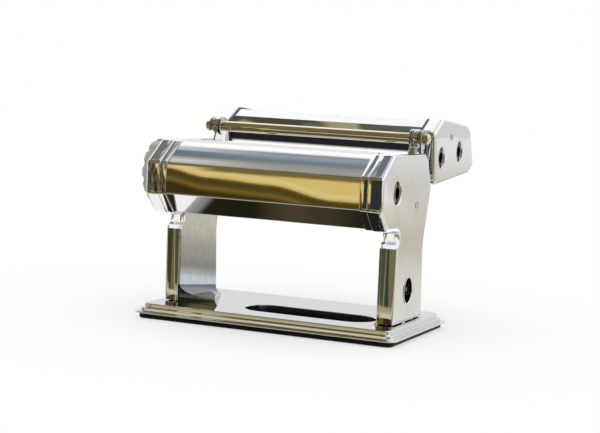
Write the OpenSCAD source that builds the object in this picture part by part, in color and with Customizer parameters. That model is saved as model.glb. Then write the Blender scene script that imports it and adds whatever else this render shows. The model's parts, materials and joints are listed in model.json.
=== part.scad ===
// Hand-cranked pasta machine: chromed body with two sheeting rollers, a thickness
// regulator on the left and a lift-off twin cutter head hung on the rod at the back.
// Millimetres. X to the crank side, Y to the back, Z up. The origin is the centre of
// the base's underside, on the table.

/* [Base] */
// Width of the base plate over its lip
base_w = 205; // [196:1:220]
// Depth of the base plate over its lip
base_d = 127; // [120:1:140]
// Height of the base plate above its gasket
base_h = 7; // [6:0.5:10]
// Height of the rubber gasket under the plate
gasket_h = 4; // [3:0.5:6]
// Corner radius of the base lip
base_r = 8; // [7:0.5:14]
// Width of the flat lip round the plate
lip_w = 3.5; // [2.5:0.5:5]
// Width of the step between the lip and the top
step_w = 2.5; // [1.5:0.5:4]
// Thickness of the pressed base plate
plate_t = 1.2; // [1:0.1:1.5]
// Length of the round-ended opening in the base
open_l = 95; // [70:1:97]
// Width of the opening in the base
open_w = 37; // [25:1:40]
// Opening centre to the right of the middle
open_x = 17.5; // [0:0.5:18]
// Opening centre in front of the middle
open_y = 16.5; // [10:0.5:22]

/* [Body] */
// Width over the two side covers
body_w = 183; // [180:1:187]
// Depth of a side cover's flange
cover_d = 11.7; // [11.5:0.1:12.2]
// Width of the strip between the covers and the front sheet
band_w = 4.9; // [4.4:0.1:5.4]
// Thickness of the chromed sheet
sheet_t = 1; // [0.8:0.1:1.2]
// Thickness of a side frame
frame_t = 2; // [1.8:0.1:2.2]
// Radius of the covers' rolled outer edge
edge_r = 3; // [2:0.25:3.5]
// Front face of the head in front of the base centre
head_front = 72.5; // [70:0.5:76]
// Back of the head behind the base centre
head_back = 37; // [36:0.5:38]
// Height of the head's top above the base plate
head_h = 121.8; // [120:0.2:125]
// Lower edge of the head's front face above the base plate
face_lo = 83; // [80:0.5:86]
// Upper edge of the head's front face above the base plate
face_hi = 106; // [103:0.5:108]
// Depth of the bevel above the front face
bevel_up = 22; // [19:0.5:25]
// Depth of the bevel below the front face
bevel_low = 15.5; // [13:0.5:18]
// Height of the head's underside above the base plate
head_low = 68; // [66:0.5:69]
// Front of the legs in front of the base centre
leg_front = 34; // [33:0.5:36]
// Back of the legs behind the base centre
leg_back = 31; // [29:0.5:34]
// Height of the narrow waist at the back of a leg
waist_h = 55; // [50:0.5:58]
// Width of the flat foot turned in under each frame
foot_w = 2; // [1:0.5:6]
// Radius inside the bend of a foot
bend_r = 8; // [6:0.5:10]
// Radius of the table clamp's socket
clamp_r = 9; // [7:0.25:10]
// Clamp socket in front of the base centre
clamp_y = 5; // [0:0.5:10]
// Height of the clamp socket above the base plate
clamp_z = 23; // [18:0.5:30]
// Diameter of the rod that carries the cutter head
rod_d = 7; // [6:0.25:8]
// Rod behind the base centre
rod_y = 25.5; // [25:0.25:26.5]
// Height of the rod above the base plate
rod_z = 132; // [131:0.5:133]

/* [Rollers] */
// Diameter of a sheeting roller
roller_d = 35; // [34:0.25:36]
// Axis of the driven roller in front of the base centre
roller_y = 41; // [40:0.5:42]
// Height of the roller axes above the base plate
roller_z = 95; // [94:0.5:96]
// Widest gap between the rollers
gap_max = 3; // [2.6:0.1:3.4]
// Narrowest gap between the rollers
gap_min = 0.2; // [0.2:0.05:0.4]
// Diameter of the driven roller's shaft
shaft_d = 15; // [14:0.25:16]
// Diameter of the crank socket in each driven shaft
crank_d = 9; // [8:0.25:9.5]
// Depth of a crank socket
crank_l = 16; // [12:1:20]
// Teeth of each roller gear
gear_n = 12; // [11:1:13]
// Face width of a gear
gear_w = 6; // [5:0.25:6.5]

/* [Regulator] */
// Diameter of the regulator knob
knob_d = 50; // [44:1:54]
// Length of the regulator knob
knob_l = 25; // [22:0.5:28]
// Turn of the knob from the widest to the narrowest gap
knob_turn = 240; // [180:10:300]
// Diameter of the knob's spindle
spindle_d = 10; // [8:0.5:12]
// Diameter of the dial plate behind the knob
dial_d = 52; // [48:1:54]

/* [Cutter head] */
// Driven wide cutter behind the rod
wide_back = 31; // [29:0.25:33]
// Wide cutters below the rod
wide_drop = 14; // [13:0.5:15]
// Driven narrow cutter behind the driven wide one
pair_step = 46.5; // [44:0.5:50]
// Narrow cutters above the wide ones
pair_rise = 4; // [3:0.5:5]
// Radius of a cutting disc
disc_r = 10; // [9.6:0.1:10.2]
// Distance between the two axes of a cutter pair
pair_c = 18.4; // [18.2:0.1:18.6]
// Width of a wide noodle
wide_w = 6.5; // [6:0.1:7]
// Width of a narrow noodle
narrow_w = 2; // [1.8:0.1:2.2]
// Diameter of a cutter shaft
cut_shaft_d = 10; // [9:0.25:10.5]

/* [Fits] */
// Radial clearance of a shaft in its bush
run_fit = 0.05; // [0.03:0.01:0.1]
// Clearance of a sliding or hooked piece
slide_fit = 0.3; // [0.2:0.05:0.4]
// Space between two bodies that pass each other
pass_gap = 0.4; // [0.3:0.05:0.5]

/* [Hidden] */
$fn = 64;
bt = gasket_h + base_h;
step_in = lip_w + plate_t;
xo = body_w / 2;
xp = xo - cover_d;
xi = xp - frame_t;
xc = xp - band_w;
top_z = bt + head_h;
rz = bt + roller_z;
ry = -roller_y;
travel = gap_max - gap_min;
rear_y = ry + roller_d + gap_max;
nip_y = ry + (roller_d + gap_max) / 2;
spin_y = rear_y - travel / 2;
body_l = xc - 1.3;
rod_h = bt + rod_z;
wy = rod_y + wide_back;
wz = rod_h - wide_drop;
ny = wy + pair_step;
nz = wz + pair_rise;
last_y = ny + pair_c;
wide_mid = wy + pair_c / 2;
narrow_mid = ny + pair_c / 2;
notch_y = 30.5;
knee_h = 53;
below = 8;
fold_r = edge_r + 0.6;
lap = 0.3;
sunk = 0.05;
slot_half = 14;
lip_half = 9;
tight = 0.4;
skin = 0.9;

// Outline of a side cover in the YZ plane, with a radius at each corner.
cover_v = [
    [-leg_front + 2 * below / knee_h, bt - below, fold_r],
    [leg_back + 6 * below / waist_h, bt - below, fold_r],
    [leg_back - 6, bt + waist_h, 28],
    [head_back, bt + 97, 12],
    [head_back - 13, top_z, 9],
    [-head_front + bevel_up, top_z, fold_r + 1],
    [-head_front, bt + face_hi, fold_r],
    [-head_front, bt + face_lo, fold_r],
    [-head_front + bevel_low, bt + head_low, fold_r + 1],
    [-notch_y, bt + head_low, 6],
    [-notch_y, bt + knee_h + 3, 5],
    [-leg_front - 2, bt + knee_h, fold_r]
];
// Outline of the head alone, for the bands and the front and back sheets.
head_v = [
    [leg_back - 2.3, bt + head_low, 3],
    [head_back, bt + 97, 12],
    [head_back - 13, top_z, 9],
    [-head_front + bevel_up, top_z, fold_r + 1],
    [-head_front, bt + face_hi, fold_r],
    [-head_front, bt + face_lo, fold_r],
    [-head_front + bevel_low, bt + head_low, fold_r + 1]
];
// Outline of the cutter head.
cut_v = [
    [wy - 9, wz - 20.5, fold_r],
    [last_y + 10.6, nz - 18, 7],
    [last_y + 25.1, nz - 12, 5],
    [last_y + 10.1, nz + 17.5, fold_r + 1],
    [last_y + 3.6, nz + 20.3, fold_r],
    [wy + 1.5, wz + 29.3, fold_r + 1],
    [wy - 19, wz + 18, fold_r]
];
// Outline of the cutter head's front sheet, which stands back above the rod.
nose_y = wy - 9.9;
nose_v = concat([for (i = [0:5]) cut_v[i]], [
    [nose_y, cut_v[5][1] - (cut_v[5][1] - cut_v[6][1]) * (cut_v[5][0] - nose_y)
        / (cut_v[5][0] - cut_v[6][0]), 2.4],
    [wy - 17, wz + 14.5, 2.4]
]);
cover_pts = rounded(cover_v, 4);
head_pts = rounded(head_v, 5);
cut_pts = rounded(cut_v, 4);
nose_pts = rounded(nose_v, 4);

// Roller gears mesh at every gap the regulator gives.
gear_pr = (roller_d + (gap_max + gap_min) / 2) / 2;
gear_tip = gear_pr + 2.3;
gear_root = roller_d + gap_min - gear_tip - 0.6;
gear_x = xp + 1.6;
cut_pr = pair_c / 2;
cut_tip = cut_pr + 1.2;
cut_root = pair_c - cut_tip - 0.35;
cut_gear_x = xp + 1.5;
cut_gear_w = 5;
core_r = pair_c - disc_r - pass_gap;
cut_s = cut_shaft_d / 2;
cut_len = body_l - 0.1;

// Screws that hold the frames' tabs to the base, inside the covers.
tab_t = 1.5;
tab_w = 10;
tab_l = 9;
screw_r = 2;
screw_head = 3.6;
screw_x = xp + tab_l - screw_head;
screw_y = [-22, 19];

// Tie rods, with the rear one under the yoke bar.
yoke_h = 12;
tie_r = 3;
tie_fit = 1;

// Bearing blocks of the rear roller, with the pin that follows the cam.
block_y = 13;
block_z = 12;
journal_r = 9;
pin_r = 1.4;
pin_off = 11.2;
cam_r = 17;
cam_x = -xp - 1.2;
cam_t = 3.5;
cam_w = pin_r + 0.25;
dial_t = 1.2;
knob_x = -xo - dial_t - 0.5;
detent_r = 18;
knob_r = knob_d / 2;
knob_s = spindle_d / 2;
spindle_r = knob_s + 1;
bush_r = spindle_r + 4;

// Hooks of the cutter head on the rod's ends.
hook_x = xp + 4.4;
hook_t = 2.5;
hook_y = wy - 6.5;
hook_z = wz + 16;
hook_r = 5.5;
collar_t = 3.9;
hub_r = crank_d / 2 + 2.5;
rivet_y = wy + 23.5;
rivet_z = wz + 15.6;
// Half the width of a feed slot at its mouth and at its throat.
feed_half = 8.2;
throat = 3.3;
lip_z = 13;

// Unit vector from one point to another.
function unit(a, b) = (b - a) / norm(b - a);
// One rounded corner at v between p and q, as n steps along its arc.
function corner(p, v, q, r, n) =
    let (a = unit(v, p), b = unit(v, q), h = acos(a * b) / 2)
    let (c = v + (a + b) / norm(a + b) * r / sin(h))
    let (s = v + a * r / tan(h) - c, e = v + b * r / tan(h) - c)
    let (t0 = atan2(s[1], s[0]), d = atan2(s[0] * e[1] - s[1] * e[0], s * e))
    [for (i = [0:n]) c + r * [cos(t0 + d * i / n), sin(t0 + d * i / n)]];
// A closed outline with its corners rounded.
function rounded(v, n) =
    let (m = len(v))
    [for (i = [0:m - 1])
        let (p = v[(i + m - 1) % m], c = v[i], q = v[(i + 1) % m])
        each corner([p[0], p[1]], [c[0], c[1]], [q[0], q[1]], c[2], n)];
// The same outline moved in by d.
function inset(pts, d) =
    let (m = len(pts))
    [for (i = [0:m - 1])
        let (a = unit(pts[(i + m - 1) % m], pts[i]), b = unit(pts[i], pts[(i + 1) % m]))
        let (na = [-a[1], a[0]], nb = [-b[1], b[0]])
        pts[i] + (na + nb) / (1 + na * nb) * d];
// Points along an arc about c.
function arc(c, r, a0, a1, n) =
    [for (i = [0:n]) c + r * [cos(a0 + (a1 - a0) * i / n), sin(a0 + (a1 - a0) * i / n)]];
// Involute function in degrees.
function inv(a) = tan(a) * 180 / PI - a;
// Half the angle of a gear tooth at radius r.
function half_tooth(n, pr, r, thick) =
    let (rb = pr * cos(20), x = min(1, rb / r))
    thick * 90 / n + inv(20) - inv(acos(x));
// Outline of a gear with n teeth, a tooth pointing along +x.
function gear_pts(n, pr, tip, root, thick) =
    let (rb = pr * cos(20), k = 5)
    let (rs = [for (i = [0:k]) rb + (tip - rb) * i / k])
    [for (t = [0:n - 1])
        let (c = t * 360 / n, h = half_tooth(n, pr, rb, thick))
        each concat(
            [root * [cos(c - h), sin(c - h)]],
            [for (r = rs) let (a = c - half_tooth(n, pr, r, thick)) r * [cos(a), sin(a)]],
            [for (i = [k:-1:0])
                let (a = c + half_tooth(n, pr, rs[i], thick)) rs[i] * [cos(a), sin(a)]],
            [root * [cos(c + h), sin(c + h)]])];
// Radius of the cam's spiral groove at angle a.
function cam_at(a) = pin_off + travel / 2 + travel * a / knob_turn;

// Extrudes a YZ outline along X.
module along_x(x0, x1) {
    translate([x0, 0, 0])
        rotate([90, 0, 90])
            linear_extrude(x1 - x0)
                children();
}
// Extrudes an XZ outline along Y.
module along_y(y0, y1) {
    translate([0, y1, 0])
        rotate([90, 0, 0])
            linear_extrude(y1 - y0)
                children();
}
// A round bar along X.
module rod_x(y, z, r, x0, x1) {
    translate([x0, y, z])
        rotate([0, 90, 0])
            cylinder(r = r, h = x1 - x0);
}
// A ring along X.
module ring_x(y, z, ro, ri, x0, x1) {
    difference() {
        rod_x(y, z, ro, x0, x1);
        rod_x(y, z, ri, x0 - 1, x1 + 1);
    }
}
// The same shape on both sides.
module both() {
    children();
    mirror([1, 0, 0])
        children();
}
// A rectangle with round corners.
module round_rect(w, d, r) {
    union() {
        square([w - 2 * r, d], center = true);
        square([w, d - 2 * r], center = true);
        for (x = [-1, 1], y = [-1, 1])
            translate([x * (w / 2 - r), y * (d / 2 - r)])
                circle(r = r);
    }
}
// A slot with round ends.
module obround(l, w) {
    union() {
        square([l - w, w], center = true);
        for (x = [-1, 1])
            translate([x * (l - w) / 2, 0])
                circle(d = w);
    }
}
// A thin strip of sheet from a to b.
module strip(a, b, t) {
    let (u = unit(a, b), n = [-u[1], u[0]] * t / 2)
        polygon([a - n, b - n, b + n, a + n]);
}
// A pressed cover: a rim that follows an outline, with a rolled outer edge, and its face.
module pan(pts, x0, x1, r, t) {
    k = 3;
    m = len(pts);
    turn = [for (i = [0:k]) 90 * i / k];
    outer = concat([[0, x0]], [for (a = turn) [r * (1 - cos(a)), x1 - r + r * sin(a)]]);
    back = [for (i = [k:-1:0]) turn[i]];
    s = r - t;
    inner = concat([for (a = back) [t + s * (1 - cos(a)), x1 - r + s * sin(a)]], [[t, x0]]);
    rings = concat(outer, inner);
    last = len(rings) - 1;
    p = [for (g = rings) each [for (q = inset(pts, g[0])) [g[1], q[0], q[1]]]];
    side = [for (g = [0:last], i = [0:m - 1])
        let (h = g == last ? 0 : g + 1, j = (i + 1) % m)
        [g * m + i, h * m + i, h * m + j, g * m + j]];
    union() {
        polyhedron(points = p, faces = side, convexity = 6);
        along_x(x1 - t + sunk, x1 - sunk)
            polygon(inset(pts, r - lap));
    }
}
// A gear about X at y, z.
module spur(y, z, x0, x1, pts, turn, bore) {
    translate([0, y, z])
        rotate([turn, 0, 0])
            difference() {
                along_x(x0, x1)
                    polygon(pts);
                rod_x(0, 0, bore, x0 - 1, x1 + 1);
            }
}
// A cutter roller: discs of width w at x = first + i * pitch on a core.
module comb_roller(y, z, first, count, pitch, w) {
    steps = [for (i = [0:count - 1])
        let (x = first + i * pitch)
        each [[core_r, x - w / 2], [disc_r, x - w / 2], [disc_r, x + w / 2], [core_r, x + w / 2]]];
    translate([0, y, z])
        rotate([0, 90, 0])
            rotate_extrude()
                polygon(concat([[0, -cut_len], [core_r, -cut_len]], steps,
                    [[core_r, cut_len], [0, cut_len]]));
}
// The crank end of a driven cutter, with its socket and cross slot.
module socket_cut(y, z, x, r) {
    rod_x(y, z, crank_d / 2, x - crank_l, x + 1);
    translate([x - 3, y - 1.25, z - r - 1])
        cube([4, 2.5, 2 * r + 2]);
}
// A sheet that follows the outline within the given range of Y and Z.
module skin_part(pts, y0, y1, z0, z1) {
    intersection() {
        difference() {
            polygon(inset(pts, skin));
            polygon(inset(pts, skin + sheet_t));
        }
        translate([y0, z0])
            square([y1 - y0, z1 - z0]);
    }
}
// Centres of the four cutter shafts.
cut_axes = [[wy, wz], [wy + pair_c, wz], [ny, nz], [last_y, nz]];
wide_pitch = 2 * wide_w;
wide_n = 2 * floor((cut_len - wide_w) / wide_pitch) + 1;
narrow_pitch = 2 * narrow_w;
narrow_n = 2 * floor((cut_len - narrow_w) / narrow_pitch) + 1;

module base_plate() {
    color("silver")
        difference() {
            union() {
                translate([0, 0, gasket_h])
                    linear_extrude(plate_t)
                        round_rect(base_w, base_d, base_r);
                translate([0, 0, gasket_h])
                    linear_extrude(base_h * 0.55)
                        round_rect(base_w - 2 * lip_w, base_d - 2 * lip_w, base_r - 2);
                translate([0, 0, gasket_h])
                    linear_extrude(base_h)
                        base_top(0);
            }
            difference() {
                translate([0, 0, gasket_h - 1])
                    linear_extrude(1 + base_h * 0.55 - plate_t)
                        round_rect(base_w - 2 * step_in, base_d - 2 * step_in, base_r - 3);
                opening(2 * plate_t);
            }
            difference() {
                translate([0, 0, gasket_h - 1])
                    linear_extrude(1 + base_h - plate_t)
                        base_top(plate_t);
                opening(2 * plate_t);
            }
            opening(0);
            for (x = [-1, 1], y = screw_y)
                translate([x * screw_x, y, 0])
                    cylinder(r = screw_r + 0.1, h = 2 * bt);
        }
}
// Top of the base plate, moved in by d.
module base_top(d) {
    w = lip_w + step_w + d;
    round_rect(base_w - 2 * w, base_d - 2 * w, base_r - 3.5);
}
// The opening in the base, grown by d.
module opening(d) {
    translate([open_x, -open_y, gasket_h + 1])
        linear_extrude(2 * base_h)
            obround(open_l + d, open_w + d);
}
module base_gasket() {
    color("black")
        difference() {
            linear_extrude(gasket_h)
                round_rect(base_w - 6, base_d - 6, base_r - 2);
            translate([0, 0, gasket_h / 2])
                linear_extrude(gasket_h)
                    round_rect(base_w - 28, base_d - 28, base_r - 3);
        }
}
module foot_screws() {
    color("gray")
        for (x = [-1, 1], y = screw_y)
            translate([x * screw_x, y, bt - plate_t - 2])
                union() {
                    cylinder(r = screw_r, h = plate_t + tab_t + 3);
                    translate([0, 0, plate_t + 2 + tab_t])
                        difference() {
                            cylinder(r = screw_head, h = 2.2);
                            translate([-5, -0.5, 1.2])
                                cube([10, 1, 3]);
                        }
                }
}
// A side frame: plate, ear for the rod, a foot turned in on the base and tabs inside the cover.
module frame() {
    b = bend_r + frame_t;
    c = [xp - b, bt + b];
    difference() {
        union() {
            along_x(xi, xp)
                difference() {
                    union() {
                        intersection() {
                            polygon(inset(cover_pts, tight));
                            translate([-200, bt + b])
                                square([400, 400]);
                        }
                        polygon([[rod_y - 6.8, rod_h], [rod_y - 13, top_z - 3],
                            [rod_y + 5, bt + 105], [rod_y + 6.8, rod_h]]);
                        translate([rod_y, rod_h])
                            circle(r = rod_d);
                    }
                    translate([rod_y, rod_h])
                        circle(d = rod_d);
                    translate([ry, rz])
                        circle(r = shaft_d / 2 + 2.5);
                    translate([rear_y - block_y - travel - slide_fit, rz - block_z - 0.05])
                        square([2 * block_y + travel + 2 * slide_fit, 2 * block_z + 0.1]);
                }
            along_y(-leg_front + tight, leg_back - 1.6)
                polygon(concat(arc(c, b, 0, -90, 8), [[c[0] - foot_w, bt]],
                    [[c[0] - foot_w, bt + frame_t]], arc(c, bend_r, -90, 0, 8)));
            for (y = screw_y)
                translate([xp - 0.5, y - tab_w / 2, bt])
                    union() {
                        cube([tab_l + 0.5, tab_w, tab_t]);
                        cube([tab_t + 0.5, tab_w, 2 * b]);
                    }
        }
        for (y = screw_y)
            translate([screw_x, y, 0])
                cylinder(r = screw_r + 0.1, h = bt + 2 * tab_t);
    }
}
module frame_left() {
    color("silver")
        mirror([1, 0, 0])
            frame();
}
module frame_right() {
    color("silver")
        frame();
}
// A side cover, open at the foot where it stands on the base.
module cover_pan() {
    difference() {
        pan(cover_pts, xp, xo, edge_r, sheet_t);
        translate([xp - 1, -2 * leg_front, bt - 2 * below])
            cube([cover_d + 2, 4 * leg_front, 2 * below]);
    }
}
module cover_left() {
    color("silver")
        difference() {
            mirror([1, 0, 0])
                cover_pan();
            rod_x(spin_y, rz, bush_r, -xo - 1, -xo + 5);
            rod_x(0, bt + 46, 1.6, -xo - 1, -xo + 5);
        }
}
module cover_right() {
    color("silver")
        difference() {
            cover_pan();
            rod_x(ry, rz, shaft_d / 2 + 1.7, xo - 5, xo + 1);
            rod_x(-clamp_y, bt + clamp_z, clamp_r + 1, xo - 5, xo + 1);
            rod_x(3.5, bt + 84.5, 1.6, xo - 5, xo + 1);
        }
}
module band() {
    along_x(xc, xi)
        difference() {
            polygon(inset(head_pts, tight));
            polygon(inset(head_pts, tight + 1));
        }
}
module band_left() {
    color("silver")
        mirror([1, 0, 0])
            band();
}
module band_right() {
    color("silver")
        band();
}
module front_cover() {
    s = nip_y - slot_half;
    color("silver")
        along_x(-xc, xc)
            union() {
                skin_part(head_pts, -200, s, rz, 300);
                skin_part(head_pts, -200, ry - 4, 0, rz);
                strip([s - 0.5, top_z - skin - sheet_t / 2], [nip_y - lip_half, top_z - 9], sheet_t);
            }
}
module rear_cover() {
    s = nip_y + slot_half;
    color("silver")
        along_x(-xc, xc)
            union() {
                skin_part(head_pts, s, 200, rz, 300);
                skin_part(head_pts, rear_y + 11, 200, 0, rz);
                strip([s + 0.5, top_z - skin - sheet_t / 2], [nip_y + lip_half, top_z - 9], sheet_t);
            }
}
// A scraper blade under a roller at y, on its bar; s is the side it stands on.
module scraper(y, s) {
    r = roller_d / 2 + pass_gap + 0.2;
    a = [y + s * r * sin(20), rz - r * cos(20)];
    b = [y + s * (r * sin(20) + 5), bt + head_low + 4.4];
    along_x(-xi, xi)
        union() {
            strip(a, b, 0.8);
            translate([b[0] + s * 1.5 - 2.5, bt + head_low + 2.2])
                square([5, 3]);
        }
}
module scraper_front() {
    color("gray")
        scraper(ry, -1);
}
module scraper_rear() {
    color("gray")
        scraper(rear_y, 1);
}
module tie_rods() {
    color("gray") {
        rod_x(-head_front + 8, rz, tie_r, -xi, xi);
        rod_x(head_back - 10, rz - yoke_h / 2 - tie_r - tie_fit, tie_r, -xi, xi);
    }
}
module hanger_rod() {
    color("silver")
        rod_x(rod_y, rod_h, rod_d / 2, -xo, xo);
}
module rod_collars() {
    color("silver")
        both()
            union() {
                ring_x(rod_y, rod_h, rod_d, rod_d / 2, xp, xp + collar_t);
                ring_x(rod_y, rod_h, rod_d, rod_d / 2, xi - 1, xi);
            }
}
module front_bushes() {
    color("goldenrod")
        both()
            difference() {
                union() {
                    rod_x(ry, rz, shaft_d / 2 + 2.5, xi, xp + 1);
                    rod_x(ry, rz, shaft_d / 2 + 4.5, xi - 1.5, xi);
                }
                rod_x(ry, rz, shaft_d / 2 + run_fit, xi - 3, xp + 3);
            }
}
module clamp_socket() {
    color("silver")
        ring_x(-clamp_y, bt + clamp_z, clamp_r + 1, clamp_r, xp, xo);
}
// A slotted rivet in a cover's outer face.
module rivet(y, z, r) {
    difference() {
        union() {
            rod_x(y, z, 1.6, xo - 2.5, xo);
            rod_x(y, z, r, xo, xo + 0.8);
        }
        translate([xo + 0.4, y - 0.4, z - r - 1])
            cube([2, 0.8, 2 * r + 2]);
    }
}
module cover_rivets() {
    color("gray") {
        rivet(3.5, bt + 84.5, 3.2);
        mirror([1, 0, 0])
            rivet(0, bt + 46, 3.2);
    }
}
module dial_plate() {
    color("gainsboro")
        difference() {
            rod_x(spin_y, rz, dial_d / 2, -xo - dial_t, -xo);
            rod_x(spin_y, rz, bush_r, -xo - 3, -xo + 1);
            ring_x(spin_y, rz, detent_r + 2, detent_r - 2, -xo - 3, -xo - 0.3);
        }
}
module regulator_bush() {
    color("goldenrod")
        difference() {
            union() {
                rod_x(spin_y, rz, bush_r, -xo - dial_t, -xo + 5);
                rod_x(spin_y, rz, bush_r + 3, -xo + sheet_t, -xo + sheet_t + 1.8);
            }
            rod_x(spin_y, rz, spindle_r + run_fit, -xo - 3, -xo + 8);
        }
}
module front_roller() {
    x = xo - 0.5;
    color("silver")
        difference() {
            union() {
                rod_x(ry, rz, roller_d / 2, -body_l, body_l);
                rod_x(ry, rz, shaft_d / 2, -xp - 4, x);
            }
            socket_cut(ry, rz, x, shaft_d / 2);
        }
}
module front_gear() {
    color("gray")
        spur(ry, rz, gear_x, gear_x + gear_w, gear_pts(gear_n, gear_pr, gear_tip, gear_root, 0.69),
            0, shaft_d / 2);
}
// A bearing block: slider in the frame's window and a plate behind it.
module block() {
    difference() {
        union() {
            along_x(xi - 0.2, xp + pass_gap)
                translate([rear_y - block_y, rz - block_z])
                    square([2 * block_y, 2 * block_z]);
            along_x(body_l + 0.8, xi - 0.2)
                translate([rear_y - block_y - 3, rz - block_z - 1])
                    square([2 * block_y + 11, 2 * block_z + 2]);
        }
        rod_x(rear_y, rz, journal_r + run_fit, 0, xo);
    }
}
module block_left() {
    color("goldenrod")
        union() {
            mirror([1, 0, 0])
                block();
            rod_x(rear_y + pin_off, rz, pin_r, -xp - 3.2, -xp);
        }
}
module block_right() {
    color("goldenrod")
        block();
}
module yoke_bar() {
    color("gray")
        along_x(-body_l - 0.8, body_l + 0.8)
            translate([rear_y + roller_d / 2 + 0.7, rz - yoke_h / 2])
                square([4.8, yoke_h]);
}
module rear_roller() {
    color("silver")
        union() {
            rod_x(rear_y, rz, roller_d / 2, -body_l, body_l);
            rod_x(rear_y, rz, journal_r, -xp - 0.6, xp + 1);
            rod_x(rear_y, rz, shaft_d / 2, 0, gear_x + gear_w + 0.5);
        }
}
module rear_gear() {
    color("gray")
        spur(rear_y, rz, gear_x, gear_x + gear_w, gear_pts(gear_n, gear_pr, gear_tip, gear_root, 0.69),
            180 + 180 / gear_n, shaft_d / 2);
}
// The regulator's spindle with the spiral cam that draws the rear roller in.
module regulator_cam() {
    n = 52;
    a = [for (i = [0:n]) 10 - (knob_turn + 20) * i / n];
    groove = concat(
        [for (t = a) (cam_at(t) + cam_w) * [cos(t), sin(t)]],
        [for (i = [n:-1:0]) (cam_at(a[i]) - cam_w) * [cos(a[i]), sin(a[i])]]);
    color("gray")
        difference() {
            union() {
                rod_x(spin_y, rz, cam_r, cam_x - cam_t, cam_x);
                rod_x(spin_y, rz, spindle_r, knob_x - 0.8, cam_x - 1);
                rod_x(spin_y, rz, knob_s, knob_x - knob_l + 5, cam_x - 1);
            }
            translate([0, spin_y, rz])
                along_x(cam_x - 2.6, cam_x + 1)
                    polygon(groove);
            translate([knob_x - knob_l, spin_y + knob_s - 1.5, rz - 10])
                cube([knob_l - 0.8, 10, 20]);
        }
}
module regulator_knob() {
    r = knob_r;
    color("dimgray")
        difference() {
            union() {
                translate([knob_x, spin_y, rz])
                    rotate([0, -90, 0])
                        rotate_extrude()
                            polygon([[0, 0], [r - 5, 0], [r - 4.5, 0.5], [r - 4.5, 8], [r - 3.5, 10.5],
                                [r - 0.8, 12], [r, 13], [r, knob_l - 2], [r - 0.6, knob_l - 0.7],
                                [r - 2, knob_l], [0, knob_l]]);
                rod_x(spin_y + detent_r, rz, 1.6, knob_x - 1, knob_x + 1.2);
            }
            for (i = [0:11])
                rotate_about(30 * i)
                    rod_x(spin_y + r + 1.3, rz, 2.6, knob_x - knob_l - 1, knob_x - 11);
            rod_x(spin_y, rz, spindle_r + slide_fit, knob_x - 1.2, knob_x + 1);
            difference() {
                rod_x(spin_y, rz, knob_s + run_fit, knob_x - knob_l + 4.5, knob_x);
                translate([knob_x - knob_l, spin_y + knob_s - 1.5 + run_fit, rz - 10])
                    cube([knob_l - 1.2, 10, 20]);
            }
        }
}
// Turns about the knob's axis.
module rotate_about(a) {
    translate([0, spin_y, rz])
        rotate([a, 0, 0])
            translate([0, -spin_y, -rz])
                children();
}
module knob_cap() {
    color("silver")
        rod_x(spin_y, rz, knob_r * 0.55, knob_x - knob_l - 0.8, knob_x - knob_l);
}
// The arm of a hook, from the rod to its pin, grown by d.
module hook_neck(d) {
    polygon([[rod_y, rod_h + 6 + d], [rod_y, rod_h - 4 - d],
        [hook_y, hook_z - hook_r - d], [hook_y, hook_z + 4 + d]]);
}
// A cutter head's side cover, without its crank holes.
module cutter_pan() {
    difference() {
        pan(cut_pts, xp, xo, edge_r, sheet_t);
        along_x(hook_x - slide_fit, hook_x + hook_t + slide_fit)
            union() {
                hook_neck(slide_fit);
                translate([hook_y, hook_z])
                    circle(r = hook_r + slide_fit);
            }
        rod_x(rivet_y, rivet_z, 1.6, xo - 5, xo + 1);
    }
}
module cutter_cover_left() {
    color("silver")
        mirror([1, 0, 0])
            cutter_pan();
}
module cutter_cover_right() {
    color("silver")
        difference() {
            cutter_pan();
            for (i = [0, 2])
                rod_x(cut_axes[i][0], cut_axes[i][1], hub_r + 1.4, xo - 5, xo + 1);
        }
}
module cutter_plate() {
    along_x(xi, xp)
        difference() {
            polygon(inset(cut_pts, tight));
            for (c = cut_axes)
                translate(c)
                    circle(r = cut_s + 2);
        }
}
module cutter_plate_left() {
    color("silver")
        mirror([1, 0, 0])
            cutter_plate();
}
module cutter_plate_right() {
    color("silver")
        cutter_plate();
}
module cutter_hooks() {
    w = rod_d / 2 + slide_fit;
    color("gray")
        both()
            union() {
                along_x(hook_x, hook_x + hook_t)
                    difference() {
                        union() {
                            translate([rod_y, rod_h])
                                circle(r = w + 4);
                            translate([rod_y - w - 4, rod_h - 5.5])
                                square([2 * w + 8, 5.5]);
                            hook_neck(0);
                            translate([hook_y, hook_z])
                                circle(r = hook_r);
                        }
                        translate([rod_y, rod_h])
                            circle(r = w);
                        translate([rod_y - w, rod_h - 20])
                            square([2 * w, 20]);
                    }
                rod_x(hook_y, hook_z, 4, xp, hook_x);
            }
}
module cutter_front_sheet() {
    c = wide_mid - feed_half;
    color("silver")
        along_x(-xi, xi)
            union() {
                skin_part(nose_pts, 0, c, 0, 300);
                strip([c - 0.3, wz + 27.8], [wide_mid - throat, wz + lip_z], sheet_t);
            }
}
module cutter_mid_sheet() {
    c = wide_mid + feed_half;
    d = narrow_mid - feed_half;
    color("silver")
        along_x(-xi, xi)
            union() {
                skin_part(cut_pts, c, d, wz + 2, 300);
                strip([c + 0.3, wz + 26.5], [wide_mid + throat, wz + lip_z], sheet_t);
                strip([d - 0.3, nz + 20.2], [narrow_mid - throat, nz + lip_z], sheet_t);
            }
}
module cutter_rear_sheet() {
    d = narrow_mid + feed_half;
    color("silver")
        along_x(-xi, xi)
            union() {
                skin_part(cut_pts, d, 300, 0, 300);
                strip([d + 0.4, nz + 18.8], [narrow_mid + throat, nz + lip_z], sheet_t);
            }
}
module cutter_ties() {
    color("gray") {
        rod_x((wy + pair_c + ny) / 2, (wz + nz) / 2 + 2, 2.5, -xi, xi);
        rod_x(last_y + 14.1, nz - 9, 2.5, -xi, xi);
    }
}
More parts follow.
